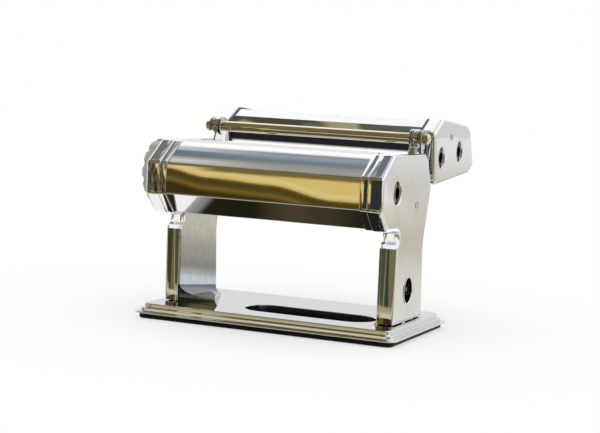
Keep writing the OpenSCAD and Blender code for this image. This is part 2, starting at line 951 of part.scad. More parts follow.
module cutter_bushes() {
    color("goldenrod")
        both()
            for (c = cut_axes)
                difference() {
                    union() {
                        rod_x(c[0], c[1], cut_s + 2, xi, xp);
                        rod_x(c[0], c[1], cut_s + 3, xp, xp + 0.8);
                    }
                    rod_x(c[0], c[1], cut_s + run_fit, xi - 1, xp + 2);
                }
}
module cutter_rivets() {
    color("gray")
        both()
            rivet(rivet_y, rivet_z, 2.8);
}
module rest_bumpers() {
    color("black")
        both()
            difference() {
                translate([50, head_back - 0.5, wz - 18])
                    rotate([-90, 0, 0])
                        cylinder(r = 4, h = 20);
                along_x(0, xo)
                    polygon(inset(cut_pts, skin));
            }
}
// A comb under a cutter roller, with a finger in each of its grooves.
module comb(c, s, first, count, pitch, w) {
    y = c[0] + s * 1.5;
    z = c[1] - core_r - pass_gap;
    union() {
        translate([-xi, y - 2.5, c[1] - 16.2])
            cube([2 * xi, 5, 2.5]);
        for (i = [0:count - 1])
            translate([first + i * pitch - w / 2, y - 0.6, c[1] - 14.5])
                cube([w, 1.2, z - c[1] + 14.5]);
    }
}
module wide_combs() {
    p = wide_pitch;
    w = wide_w - 0.6;
    h = (wide_n - 1) / 2;
    color("gray") {
        comb(cut_axes[0], -1, -(h - 0.5) * p, wide_n - 1, p, w);
        comb(cut_axes[1], 1, -(h - 1) * p, wide_n - 2, p, w);
    }
}
module narrow_combs() {
    p = narrow_pitch;
    w = narrow_w - 0.6;
    h = (narrow_n - 1) / 2;
    color("gray") {
        comb(cut_axes[2], -1, -(h - 0.5) * p, narrow_n - 1, p, w);
        comb(cut_axes[3], 1, -(h - 1) * p, narrow_n - 2, p, w);
    }
}
// A driven cutter with its crank socket, or its mate.
module cutter(c, first, count, pitch, w, driven) {
    x = xo - 0.7;
    difference() {
        union() {
            comb_roller(c[0], c[1], first, count, pitch, w);
            rod_x(c[0], c[1], cut_s, -cut_gear_x - cut_gear_w - 0.5, xp + 1.4);
            if (driven)
                rod_x(c[0], c[1], hub_r, xp + 1.2, x);
        }
        if (driven)
            socket_cut(c[0], c[1], x, hub_r);
    }
}
module cutter_gear(c, turn) {
    spur(c[0], c[1], -cut_gear_x - cut_gear_w, -cut_gear_x,
        gear_pts(12, cut_pr, cut_tip, cut_root, 0.9), turn, cut_s);
}
module wide_driven() {
    color("silver")
        cutter(cut_axes[0], -(wide_n - 1) / 2 * wide_pitch, wide_n, wide_pitch, wide_w - 0.2, true);
}
module wide_idle() {
    color("silver")
        cutter(cut_axes[1], -(wide_n - 2) / 2 * wide_pitch, wide_n - 1, wide_pitch, wide_w - 0.2, false);
}
module wide_gear_driven() {
    color("gray")
        cutter_gear(cut_axes[0], 0);
}
module wide_gear_idle() {
    color("gray")
        cutter_gear(cut_axes[1], 15);
}
module narrow_driven() {
    color("silver")
        cutter(cut_axes[2], -(narrow_n - 1) / 2 * narrow_pitch, narrow_n, narrow_pitch, narrow_w - 0.2, true);
}
module narrow_idle() {
    color("silver")
        cutter(cut_axes[3], -(narrow_n - 2) / 2 * narrow_pitch, narrow_n - 1, narrow_pitch, narrow_w - 0.2,
            false);
}
module narrow_gear_driven() {
    color("gray")
        cutter_gear(cut_axes[2], 0);
}
module narrow_gear_idle() {
    color("gray")
        cutter_gear(cut_axes[3], 15);
}

base_plate();
base_gasket();
foot_screws();
frame_left();
frame_right();
cover_left();
cover_right();
band_left();
band_right();
front_cover();
rear_cover();
scraper_front();
scraper_rear();
tie_rods();
hanger_rod();
rod_collars();
front_bushes();
clamp_socket();
cover_rivets();
dial_plate();
regulator_bush();
front_roller();
front_gear();
block_left();
block_right();
yoke_bar();
rear_roller();
rear_gear();
regulator_cam();
regulator_knob();
knob_cap();
cutter_cover_left();
cutter_cover_right();
cutter_plate_left();
cutter_plate_right();
cutter_hooks();
cutter_front_sheet();
cutter_mid_sheet();
cutter_rear_sheet();
cutter_ties();
cutter_bushes();
cutter_rivets();
rest_bumpers();
wide_combs();
narrow_combs();
wide_driven();
wide_idle();
wide_gear_driven();
wide_gear_idle();
narrow_driven();
narrow_idle();
narrow_gear_driven();
narrow_gear_idle();
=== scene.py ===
import json
import math

import bmesh
import bpy
from mathutils import Matrix, Vector


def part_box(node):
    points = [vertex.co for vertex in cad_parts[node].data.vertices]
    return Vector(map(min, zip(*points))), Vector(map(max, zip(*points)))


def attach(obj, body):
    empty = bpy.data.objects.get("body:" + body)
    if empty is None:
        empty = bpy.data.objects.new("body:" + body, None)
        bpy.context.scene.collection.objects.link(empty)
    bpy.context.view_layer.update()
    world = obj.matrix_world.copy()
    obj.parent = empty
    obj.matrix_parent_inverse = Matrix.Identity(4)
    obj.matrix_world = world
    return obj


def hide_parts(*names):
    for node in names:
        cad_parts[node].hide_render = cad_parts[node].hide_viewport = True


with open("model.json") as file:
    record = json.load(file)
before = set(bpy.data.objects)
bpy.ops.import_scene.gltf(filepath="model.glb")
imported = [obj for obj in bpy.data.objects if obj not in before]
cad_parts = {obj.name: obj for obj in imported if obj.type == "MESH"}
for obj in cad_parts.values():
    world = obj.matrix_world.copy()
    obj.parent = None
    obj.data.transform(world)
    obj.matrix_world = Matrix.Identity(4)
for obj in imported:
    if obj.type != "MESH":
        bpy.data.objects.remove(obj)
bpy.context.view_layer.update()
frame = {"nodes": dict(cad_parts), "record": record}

MM = 0.001
NEAR = 1e-4
RIGHT, LEFT = 1, -1
HANDS = ((RIGHT, "right"), (LEFT, "left"))


def low(node):
    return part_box(node)[0] / MM


def high(node):
    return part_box(node)[1] / MM


def middle(node):
    return (low(node) + high(node)) / 2


def half_height(node):
    return (high(node).z - low(node).z) / 2


# Sizes taken from the frame, in millimetres.
cover_out = high("cover_right").x
cover_in = low("cover_right").x
band_out = high("band_right").x
sheet_half = high("front_cover").x
head_front = low("cover_right").y
head_top = high("cover_right").z
base_top = high("base_plate").z
base_low = low("base_plate").z
lip_x, lip_y = high("base_plate").xy
mat_x, mat_y = high("base_gasket").xy
rod_y, rod_z = middle("hanger_rod").yz
rod_r = half_height("hanger_rod")
rod_end = high("hanger_rod").x
rod_seen = rod_r + 0.5  # the rod looks a little thicker than its solid
roller_y, roller_z = middle("front_roller").yz
rear_y = middle("rear_roller").y
dial_y, dial_r = middle("dial_plate").y, half_height("dial_plate")
dial_face = low("dial_plate").x
clamp_y, clamp_z = middle("clamp_socket").yz
clamp_r = half_height("clamp_socket")
wide_y, wide_z = middle("wide_driven").yz
narrow_y, narrow_z = middle("narrow_driven").yz
pair_c = middle("wide_idle").y - wide_y
last_y = narrow_y + pair_c
knob_in = high("regulator_knob").x
knob_out = low("regulator_knob").x
knob_r = half_height("regulator_knob")

sheet_t = 1.0
edge_roll = 3.0
fold_r = 3.6
skin_in = 0.9
band_in = 0.4
rim_roll = 0.9
cover_crown, band_crown = 0.04, 0.12
band_lap, band_roll = 0.7, 0.8
nip_y = (roller_y + rear_y) / 2
body_inside = (0, nip_y, roller_z)

# Outlines in the YZ plane: Y, Z and the radius of the corner.
head_low = base_top + 68
face_low, face_high = base_top + 83, base_top + 106
bevel_top = head_front + 22
bevel_foot = head_front + 15.5
head_back = 37.0
leg_front, leg_back = -34.0, 31.0
notch_y, knee_z = -30.5, base_top + 57
waist_z, back_z = base_top + 55, base_top + 97
shoulder = (head_back, back_z, 12)
back_edge = (head_back - 13, head_top, 9)
seat = (leg_back - 2.3, head_low, 3)
front_bends = [
    (bevel_top, head_top, fold_r + 1),
    (head_front, face_high, fold_r),
    (head_front, face_low, fold_r),
    (bevel_foot, head_low, fold_r + 1),
]
cover_corners = [
    (leg_front + 0.3, base_top - 8, fold_r),
    (leg_back + 0.9, base_top - 8, fold_r),
    (leg_back - 6, waist_z, 28),
    shoulder, back_edge, *front_bends,
    (notch_y, head_low, 6),
    (notch_y, knee_z + 3, 5),
    (leg_front - 2, knee_z, fold_r),
]
head_corners = [seat, shoulder, back_edge, *front_bends]
cutter_corners = [
    (wide_y - 9, wide_z - 20.5, fold_r),
    (last_y + 10.6, narrow_z - 18, 7),
    (last_y + 25.1, narrow_z - 12, 5),
    (last_y + 10.1, narrow_z + 17.5, fold_r + 1),
    (last_y + 3.6, narrow_z + 20.3, fold_r),
    (wide_y + 1.5, wide_z + 29.3, fold_r + 1),
    (wide_y - 19, wide_z + 18, fold_r),
]


# Mesh helpers, in millimetres until piece() makes them metres.
def weld(bm):
    bmesh.ops.remove_doubles(bm, verts=bm.verts[:], dist=NEAR)


def outward(bm):
    bmesh.ops.recalc_face_normals(bm, faces=bm.faces[:])


def fill(bm, edges, normal):
    bmesh.ops.triangle_fill(bm, use_beauty=True, use_dissolve=False, edges=edges, normal=normal)


def new_verts(made):
    """The vertices among what an operator made."""
    return [g for g in made["geom"] if isinstance(g, bmesh.types.BMVert)]


def put(name, data):
    """A new object in the scene."""
    obj = bpy.data.objects.new(name, data)
    bpy.context.scene.collection.objects.link(obj)
    return obj


def mesh_of(bm, name="work"):
    mesh = bpy.data.meshes.new(name)
    bm.to_mesh(mesh)
    bm.free()
    return mesh


def turn_at(p, c, q):
    """Half the inside angle at corner c between p and q."""
    a = Vector((p[0] - c[0], p[1] - c[1]))
    b = Vector((q[0] - c[0], q[1] - c[1]))
    return a.angle(b) / 2


def round_corners(bm, verts, offset, steps):
    bmesh.ops.bevel(
        bm, geom=verts, offset=offset, offset_type="OFFSET", segments=steps, profile=0.5,
        affect="VERTICES", material=-1,
    )


def fold_steps(half):
    """How many facets a rounded corner gets, one for about 7 degrees."""
    return max(3, round(math.degrees(math.pi - 2 * half) / 7))


def outline(bm, corners, x):
    """A flat face in the plane X = x with its corners rounded."""
    bm.faces.new([bm.verts.new((x, c[0], c[1])) for c in corners])
    n = len(corners)
    for i, c in enumerate(corners):
        half = turn_at(corners[i - 1], c, corners[(i + 1) % n])
        spot = Vector((x, c[0], c[1]))
        vert = min(bm.verts, key=lambda v: (v.co - spot).length)
        round_corners(bm, [vert], c[2] / math.tan(half), fold_steps(half))
    return bm.faces[:]


def draw_out(bm, faces, vec):
    """Draws faces out along vec and returns the moved ones."""
    made = bmesh.ops.extrude_face_region(bm, geom=faces)
    bmesh.ops.translate(bm, verts=new_verts(made), vec=vec)
    return [g for g in made["geom"] if isinstance(g, bmesh.types.BMFace)]


def at_x(bm_part, x):
    return all(abs(v.co.x - x) < NEAR for v in bm_part.verts)


def edges_at(bm, x):
    return [e for e in bm.edges if at_x(e, x)]


def faces_at(bm, x):
    return [f for f in bm.faces if at_x(f, x)]


def round_edges(bm, edges, r, steps=4):
    bmesh.ops.bevel(
        bm, geom=edges, offset=r, offset_type="OFFSET", segments=steps, profile=0.5,
        affect="EDGES", material=-1, clamp_overlap=False,
    )


def hole_ring(bm, x, y, z, r, steps=48):
    """The edges of a round hole in the plane X = x."""
    spot = Matrix.Translation((x, y, z)) @ Matrix.Rotation(math.pi / 2, 4, "Y")
    made = bmesh.ops.create_circle(bm, cap_ends=False, radius=r, segments=steps, matrix=spot)
    return list({e for v in made["verts"] for e in v.link_edges})


def refill(bm, x, holes):
    """Fills the flat face in the plane X = x again, with round holes in it."""
    bmesh.ops.delete(bm, geom=faces_at(bm, x), context="FACES_ONLY")
    rim = edges_at(bm, x)
    for y, z, r in holes:
        rim += hole_ring(bm, x, y, z, r)
    fill(bm, rim, (1, 0, 0))


def slab(corners, x0, x1):
    """A closed slab with a rounded outline between two planes across X."""
    bm = bmesh.new()
    draw_out(bm, outline(bm, corners, x0), (x1 - x0, 0, 0))
    if not faces_at(bm, x0):
        bmesh.ops.holes_fill(bm, edges=edges_at(bm, x0), sides=0)
    outward(bm)
    return bm


def swell(bm, x0, x1, rise):
    """Crowns the walls between two planes across X, as pressed sheet is."""
    across = [e for e in bm.edges if abs(e.verts[0].co.x - e.verts[1].co.x) > (x1 - x0) * 0.98]
    bmesh.ops.subdivide_edges(bm, edges=across, cuts=5, use_grid_fill=True)
    bm.normal_update()
    mid, half = (x0 + x1) / 2, (x1 - x0) / 2
    moves = [
        (v, v.normal * rise * (1 - ((v.co.x - mid) / half) ** 2))
        for v in bm.verts if x0 + 1e-3 < v.co.x < x1 - 1e-3
    ]
    for v, move in moves:
        v.co += move


def pan(corners, holes=()):
    """A pressed side cover: crowned flange, rolled edges and flat face, open at the back."""
    bm = slab(corners, cover_in, cover_out)
    round_edges(bm, edges_at(bm, cover_out), edge_roll, 7)
    round_edges(bm, edges_at(bm, cover_in), rim_roll, 4)
    bmesh.ops.delete(bm, geom=faces_at(bm, cover_in), context="FACES_ONLY")
    swell(bm, cover_in + rim_roll, cover_out - edge_roll, cover_crown)
    refill(bm, cover_out, holes)
    return bm


def folded(points, x0, x1):
    """A sheet folded along X through YZ points with a radius at each fold."""
    bm = bmesh.new()
    row = [bm.verts.new((x0, p[0], p[1])) for p in points]
    edges = [bm.edges.new(pair) for pair in zip(row, row[1:])]
    made = bmesh.ops.extrude_edge_only(bm, edges=edges)
    bmesh.ops.translate(bm, verts=new_verts(made), vec=(x1 - x0, 0, 0))
    for i in range(1, len(points) - 1):
        p = points[i]
        half = turn_at(points[i - 1], p, points[i + 1])
        fold = [
            e for e in bm.edges
            if all((Vector(v.co.yz) - Vector(p[:2])).length < 1e-3 for v in e.verts)
        ]
        round_edges(bm, fold, p[2] / math.tan(half), fold_steps(half))
    return bm


def face_out(bm, inside):
    """Turns the faces of an open sheet away from a point inside."""
    weld(bm)
    outward(bm)
    away = sum(f.calc_area() * f.normal.dot(f.calc_center_median() - Vector(inside)) for f in bm.faces)
    if away < 0:
        bmesh.ops.reverse_faces(bm, faces=bm.faces[:])


def shrink(bm, d):
    """Moves a sheet in by d, square to its faces."""
    bm.normal_update()
    moves = [(v, v.normal * -d * v.calc_shell_factor()) for v in bm.verts]
    for v, move in moves:
        v.co += move


def turned(profile, axis_y, axis_z, steps=64):
    """A lathe shape about X: profile is a list of (x, radius)."""
    bm = bmesh.new()
    row = [bm.verts.new((x, axis_y + r, axis_z)) for x, r in profile]
    edges = [bm.edges.new(pair) for pair in zip(row, row[1:])]
    bmesh.ops.spin(
        bm, geom=row + edges, cent=(0, axis_y, axis_z), axis=(1, 0, 0), dvec=(0, 0, 0),
        angle=2 * math.pi, steps=steps, use_merge=True, use_duplicate=False,
    )
    weld(bm)
    return bm


def block(lo, hi):
    """A box to cut with, between two corners."""
    bm = bmesh.new()
    size = Vector(hi) - Vector(lo)
    bmesh.ops.create_cube(
        bm, size=1, matrix=Matrix.Translation((Vector(hi) + Vector(lo)) / 2) @ Matrix.Diagonal((*size, 1))
    )
    return bm


def carve(bm, tools):
    """bm with every tool cut away from it."""
    body = put("work", mesh_of(bm))
    helpers = []
    for tool in tools:
        outward(tool)
        cutter = put("work", mesh_of(tool))
        cut = body.modifiers.new("cut", "BOOLEAN")
        cut.operation, cut.solver, cut.object = "DIFFERENCE", "EXACT", cutter
        helpers.append(cutter)
    done = bmesh.new()
    bpy.context.view_layer.update()
    done.from_object(body, bpy.context.evaluated_depsgraph_get())
    for o in [body, *helpers]:
        mesh = o.data
        bpy.data.objects.remove(o)
        bpy.data.meshes.remove(mesh)
    return done


def joined(*parts):
    """Several meshes as one."""
    whole = bmesh.new()
    for bm in parts:
        mesh = mesh_of(bm)
        whole.from_mesh(mesh)
        bpy.data.meshes.remove(mesh)
    return whole


def other_side(bm):
    """The mirror image for the left side."""
    bmesh.ops.scale(bm, vec=(-1, 1, 1), verts=bm.verts[:])
    bmesh.ops.reverse_faces(bm, faces=bm.faces[:])
    return bm


def piece(
    name, bm, finish, body, stands_for=(), wall=0, inside=None, edge=0.25, crease=40, side=RIGHT
):
    """Makes the finished object: its side, metres, outward normals, wall thickness, softened edges."""
    if side == LEFT:
        other_side(bm)
    if inside:
        face_out(bm, inside)
    else:
        weld(bm)
        outward(bm)
    bmesh.ops.scale(bm, vec=(MM, MM, MM), verts=bm.verts[:])
    mesh = mesh_of(bm, name)
    mesh.shade_smooth()
    mesh.set_sharp_from_angle(angle=math.radians(crease))
    mesh.materials.append(finish)
    obj = put(name, mesh)
    if wall:
        thick = obj.modifiers.new("wall", "SOLIDIFY")
        thick.thickness, thick.offset, thick.use_even_offset = wall * MM, -1, True
    if edge:
        soft = obj.modifiers.new("edges", "BEVEL")
        soft.width, soft.segments, soft.limit_method = edge * MM, 2, "ANGLE"
        soft.angle_limit, soft.use_clamp_overlap = math.radians(crease), True
        soft.harden_normals = False
    even = obj.modifiers.new("shading", "WEIGHTED_NORMAL")
    even.keep_sharp, even.weight = True, 100
    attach(obj, body)
    if stands_for:
        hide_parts(*stands_for)


# Materials.
def shader_group(name, inputs, outputs):
    """An empty shader node group with named sockets."""
    tree = bpy.data.node_groups.new(name, "ShaderNodeTree")
    for socket, kind, value in inputs:
        made = tree.interface.new_socket(socket, in_out="INPUT", socket_type=kind)
        made.default_value = value
    for socket, kind in outputs:
        tree.interface.new_socket(socket, in_out="OUTPUT", socket_type=kind)
    return tree, tree.nodes.new("NodeGroupInput"), tree.nodes.new("NodeGroupOutput")


def add(tree, kind, settings=None, **values):
    """A node with its settings and the default values of its inputs."""
    node = tree.nodes.new("ShaderNode" + kind)
    for key, value in (settings or {}).items():
        setattr(node, key, value)
    for key, value in values.items():
        node.inputs[key.replace("_", " ")].default_value = value
    return node


def link(source, socket):
    """Joins two sockets in the tree that owns them."""
    socket.id_data.links.new(source, socket)


def feed(socket, value):
    """Links a socket to another, or sets its value."""
    if hasattr(value, "is_output"):
        link(value, socket)
    else:
        socket.default_value = value


def math_node(tree, operation, a, b):
    node = add(tree, "Math", {"operation": operation})
    for socket, value in zip(node.inputs, (a, b)):
        feed(socket, value)
    return node.outputs[0]


def times(a, b):
    return math_node(a.id_data, "MULTIPLY", a, b)


def plus(a, b):
    return math_node(a.id_data, "ADD", a, b)


def place_of(tree):
    """Where a point lies on its object."""
    return add(tree, "TexCoord").outputs["Object"]


def noise(at, scale, **values):
    node = add(at.id_data, "TexNoise", **values)
    link(at, node.inputs["Vector"])
    feed(node.inputs["Scale"], scale)
    return node.outputs["Fac"]


def ramp(source, low_at, high_at, low_to=0.0, high_to=1.0):
    node = add(source.id_data, "MapRange", {"interpolation_type": "SMOOTHSTEP"})
    link(source, node.inputs["Value"])
    for key, value in zip(("From Min", "From Max", "To Min", "To Max"), (low_at, high_at, low_to, high_to)):
        node.inputs[key].default_value = value
    return node.outputs["Result"]


FLOAT, VECTOR = "NodeSocketFloat", "NodeSocketVector"


def make_smudges():
    """Wiped grease and finger marks: 0 clean, 1 smeared."""
    tree, gin, gout = shader_group("smudges", [("Scale", FLOAT, 40.0)], [("Mask", FLOAT)])
    here, scale = place_of(tree), gin.outputs["Scale"]
    cloud = noise(here, scale, Detail=4.0, Roughness=0.62, Distortion=0.8)
    fine = noise(here, times(scale, 7.0), Detail=3.0, Roughness=0.7)
    patch = ramp(cloud, 0.47, 0.72)
    speckle = ramp(fine, 0.3, 0.7, 0.55, 1.0)
    link(times(patch, speckle), gout.inputs["Mask"])
    return tree


def make_hairlines():
    """Fine wiping scratches in three directions: 0 bare, 1 on a scratch."""
    tree, gin, gout = shader_group("hairlines", [("Scale", FLOAT, 1.0)], [("Mask", FLOAT)])
    ways = (
        ((0.3, 0.2, 0.4), (40, 2600, 2600)), ((0.9, 0.5, -0.7), (55, 3400, 3400)), ((-0.6, 1.1, 0.2), (70, 4200, 4200)),
    )
    total = None
    for turn, stretch in ways:
        lay = add(tree, "Mapping", Rotation=turn, Scale=stretch)
        link(place_of(tree), lay.inputs["Vector"])
        lines = noise(lay.outputs["Vector"], gin.outputs["Scale"], Detail=1.0, Roughness=0.4)
        line = ramp(lines, 0.68, 0.8)
        total = line if total is None else math_node(tree, "MAXIMUM", total, line)
    link(total, gout.inputs["Mask"])
    return tree


def make_edge_rub():
    """Where edges are rubbed: 0 on flats, 1 on a worn edge."""
    tree, gin, gout = shader_group("edge_rub", [("Breakup", FLOAT, 120.0)], [("Mask", FLOAT)])
    form = add(tree, "NewGeometry")
    cloud = noise(place_of(tree), gin.outputs["Breakup"], Detail=3.0, Roughness=0.6)
    edge = ramp(form.outputs["Pointiness"], 0.53, 0.62)
    part = ramp(cloud, 0.35, 0.65)
    link(times(edge, part), gout.inputs["Mask"])
    return tree


def make_press_waves():
    """The slow waves that pressing leaves in a sheet, as a height."""
    tree, gin, gout = shader_group("press_waves", [("Scale", FLOAT, 16.0)], [("Height", FLOAT)])
    wave = noise(place_of(tree), gin.outputs["Scale"], Detail=1.0, Roughness=0.4)
    link(wave, gout.inputs["Height"])
    return tree


def make_grain():
    """Fine moulded or sanded grain, as a height and a mask."""
    tree, gin, gout = shader_group(
        "grain", [("Scale", FLOAT, 1800.0), ("Stretch", VECTOR, (1, 1, 1))], [("Height", FLOAT), ("Mask", FLOAT)]
    )
    lay = add(tree, "VectorMath", {"operation": "MULTIPLY"})
    link(place_of(tree), lay.inputs[0])
    link(gin.outputs["Stretch"], lay.inputs[1])
    height = noise(lay.outputs["Vector"], gin.outputs["Scale"], Detail=2.0, Roughness=0.5)
    link(height, gout.inputs["Height"])
    link(ramp(height, 0.35, 0.65), gout.inputs["Mask"])
    return tree


smudges = make_smudges()
hairlines = make_hairlines()
edge_rub = make_edge_rub()
press_waves = make_press_waves()
grain = make_grain()


def placed(tree, group, **values):
    node = add(tree, "Group", {"node_tree": group})
    for key, value in values.items():
        node.inputs[key].default_value = value
    return node


def mask_of(tree, group, **values):
    return placed(tree, group, **values).outputs["Mask"]


def blend_colour(mask, a, b):
    node = add(mask.id_data, "Mix", {"data_type": "RGBA"})
    link(mask, node.inputs["Factor"])
    for socket, value in zip((node.inputs[6], node.inputs[7]), (a, b)):
        feed(socket, value if hasattr(value, "is_output") else (*value, 1))
    return node.outputs[2]


def new_finish(name, **constants):
    mat = bpy.data.materials.new(name)
    mat.use_nodes = True
    tree = mat.node_tree
    shader = tree.nodes["Principled BSDF"]
    for key, value in constants.items():
        shader.inputs[key.replace("_", " ")].default_value = value
    return mat, tree, shader


def bumped(shader, height, strength, distance):
    bump = add(shader.id_data, "Bump", Strength=strength, Distance=distance)
    link(height, bump.inputs["Height"])
    link(bump.outputs["Normal"], shader.inputs["Normal"])


def set_roughness(shader, rough, *shares):
    """Roughness from a base value and (mask, share) pairs."""
    for mask, share in shares:
        rough = plus(times(mask, share), rough)
    link(rough, shader.inputs["Roughness"])


def plated(name, clean, worn, rough=0.05, smear=0.04, wave_height=0.00001, wave_scale=60.0):
    """Chromium plate: mirror bright, with smears, hairlines, rubbed edges and slow waves."""
    mat, tree, shader = new_finish(name, Metallic=1.0)
    smear_mask = mask_of(tree, smudges, Scale=38.0)
    line_mask = mask_of(tree, hairlines, Scale=1.0)
    rub_mask = mask_of(tree, edge_rub, Breakup=140.0)
    tone = blend_colour(rub_mask, clean, worn)
    film = times(smear_mask, 0.2)
    tone = blend_colour(film, tone, tuple(0.9 * c for c in clean))
    link(tone, shader.inputs["Base Color"])
    set_roughness(shader, rough, (smear_mask, smear), (line_mask, 0.05), (rub_mask, 0.06))
    waves = placed(tree, press_waves, Scale=wave_scale).outputs["Height"]
    bumped(shader, waves, 1.0, wave_height)
    return mat


dark_fade = 0.0012


def bare_metal(name, clean, dull, rough, stretch=(1, 1, 1), scale=900.0, dark_past=None):
    """Uncoated metal with a drawn or turned grain, darkened past a place on an axis if one is given."""
    mat, tree, shader = new_finish(name, Metallic=1.0)
    lines = placed(tree, grain, Scale=scale, Stretch=stretch)
    rub_mask = mask_of(tree, edge_rub, Breakup=160.0)
    smear_mask = mask_of(tree, smudges, Scale=60.0)
    tone = blend_colour(lines.outputs["Mask"], dull, clean)
    tone = blend_colour(rub_mask, tone, tuple(min(1.0, 1.12 * c) for c in clean))
    if dark_past:
        axis, place, dark = dark_past
        split = add(tree, "SeparateXYZ")
        link(place_of(tree), split.inputs[0])
        past = ramp(split.outputs[axis], place - dark_fade, place + dark_fade)
        tone = blend_colour(past, tone, dark)
    link(tone, shader.inputs["Base Color"])
    set_roughness(shader, rough, (lines.outputs["Mask"], 0.1), (smear_mask, 0.08))
    bumped(shader, lines.outputs["Height"], 0.25, 0.00003)
    return mat


def moulded(name, clean, dusty, rough, height, scale=2600.0, sheen=0.5):
    """Moulded plastic or rubber with a fine grain, dulled a little where it is handled."""
    mat, tree, shader = new_finish(name, Metallic=0.0, Specular_IOR_Level=sheen)
    skin = placed(tree, grain, Scale=scale, Stretch=(1, 1, 1))
    smear_mask = mask_of(tree, smudges, Scale=70.0)
    rub_mask = mask_of(tree, edge_rub, Breakup=200.0)
    worn = math_node(tree, "MAXIMUM", times(smear_mask, 0.5), rub_mask)
    link(blend_colour(worn, clean, dusty), shader.inputs["Base Color"])
    set_roughness(shader, rough, (skin.outputs["Mask"], 0.08), (smear_mask, 0.1))
    bumped(shader, skin.outputs["Height"], 0.4, height)
    return mat


rubbed, painted_shade_black, end_dark_brown = (0.60, 0.59, 0.58), (0.012, 0.013, 0.016), (0.13, 0.085, 0.05)
chrome = plated(
    "chrome_sheet", (0.66, 0.66, 0.67), rubbed, rough=0.02, smear=0.014, wave_height=0.00002, wave_scale=16.0
)
chrome_solid = plated("chrome_turned", (0.65, 0.65, 0.66), rubbed)
# The rod's warm gold tint is painted reflection of warm surroundings on plain chrome.
rod_plate = plated("chrome_rod", (0.64, 0.58, 0.43), (0.58, 0.53, 0.41))
# Chrome tinted dark blue-grey: painted dark reflection, used on the left foot.
chrome_painted_dark = plated("chrome_painted_dark", (0.12, 0.145, 0.17), (0.2, 0.22, 0.25), smear=0.03)
# Light steel that turns near black above Z = 132.5 mm: painted shade on the under sheet's top, near the rod.
shaded_under_steel = bare_metal(
    "steel_with_painted_shade", (0.8, 0.8, 0.81), (0.74, 0.74, 0.75), rough=0.3, dark_past=("Z", 0.1325, painted_shade_black)
)
steel = bare_metal("zinc_steel", (0.62, 0.62, 0.61), (0.46, 0.46, 0.45), rough=0.26)
# Darker brown past X = 83 mm, on the rollers' right ends.
alloy = bare_metal(
    "roller_alloy_satin", (0.74, 0.74, 0.73), (0.64, 0.64, 0.63), rough=0.2, stretch=(1, 0.03, 0.03), scale=1400.0,
    dark_past=("X", 0.083, end_dark_brown),
)
bronze = bare_metal("oiled_bronze", (0.66, 0.50, 0.26), (0.45, 0.33, 0.16), rough=0.3, scale=1200.0)
blued_plate = bare_metal("blued_plate", (0.07, 0.066, 0.05), (0.045, 0.042, 0.034), rough=0.28)
hook_metal = bare_metal("hook_steel", (0.45, 0.41, 0.31), (0.3, 0.27, 0.2), rough=0.2)
dial_metal = bare_metal(
    "dial_satin", (0.78, 0.78, 0.77), (0.66, 0.66, 0.65), rough=0.28, stretch=(1, 1, 8), scale=700.0
)
rubber = moulded(
    "black_rubber_mat", (0.004, 0.004, 0.004), (0.012, 0.012, 0.011), rough=0.5, height=0.00004, sheen=0.1
)
knob_grey = moulded(
    "knob_plastic_grey", (0.33, 0.33, 0.31), (0.42, 0.41, 0.39), rough=0.2, height=0.00002, scale=3200.0
)
paint_dark = moulded("number_paint", (0.02, 0.02, 0.02), (0.05, 0.05, 0.05), rough=0.45, height=0.00001)

slot_finish = {
    "chrome": chrome_solid, "plain_steel": steel, "roller_alloy": alloy, "bronze": bronze,
    "black_rubber": rubber, "dial": dial_metal, "knob_plastic": knob_grey,
}
for part in frame["record"]["subparts"]:
    node = frame["nodes"][part["node"]]
    node.data.materials.clear()
    blue = part["node"] in ("cutter_plate_left", "cutter_plate_right")
    node.data.materials.append(blued_plate if blue else slot_finish[part["material_slot"]])


# Body.
foot_gap = 0.8


def side_cover(name, side, node, holes):
    bm = pan(cover_corners, holes)
    everything = bm.verts[:] + bm.edges[:] + bm.faces[:]
    bmesh.ops.bisect_plane(
        bm, geom=everything, dist=NEAR, plane_co=(0, 0, base_top + foot_gap), plane_no=(0, 0, -1),
        clear_outer=True, clear_inner=False,
    )
    piece(
        name, bm, chrome, "machine_body", [node], sheet_t, body_inside, edge=0.2, side=side
    )


rivet_right = (3.5, base_top + 84.5)
rivet_left = (0.0, base_top + 46)
crank_hole, dial_hole, bush_hole, rivet_hole = 9.2, 10.0, 10.0, 1.6
side_cover(
    "side_cover_right", RIGHT, "cover_right",
    [(roller_y, roller_z, crank_hole), (clamp_y, clamp_z, clamp_r), (*rivet_right, rivet_hole)],
)
side_cover("side_cover_left", LEFT, "cover_left", [(dial_y, roller_z, dial_hole), (*rivet_left, rivet_hole)])


def band(name, side, node):
    x0, x1 = sheet_half - band_lap, cover_in + band_lap
    bm = slab(head_corners, x0, x1)
    round_edges(bm, edges_at(bm, x0) + edges_at(bm, x1), band_roll, 4)
    bmesh.ops.delete(bm, geom=faces_at(bm, x0) + faces_at(bm, x1), context="FACES_ONLY")
    swell(bm, x0 + band_roll, x1 - band_roll, band_crown)
    face_out(bm, body_inside)
    shrink(bm, band_in)
    piece(
        name, bm, chrome, "machine_body", [node], sheet_t, body_inside, edge=0.3, side=side
    )


for side, hand in HANDS:
    band("trim_band_" + hand, side, "band_" + hand)


def sheet(name, points, half, node, body, inside, sunk=skin_in):
    bm = folded(points, -half, half)
    face_out(bm, (0, *inside))
    shrink(bm, sunk)
    piece(name, bm, chrome, body, [node], wall=sheet_t, inside=(0, *inside), edge=0.45)


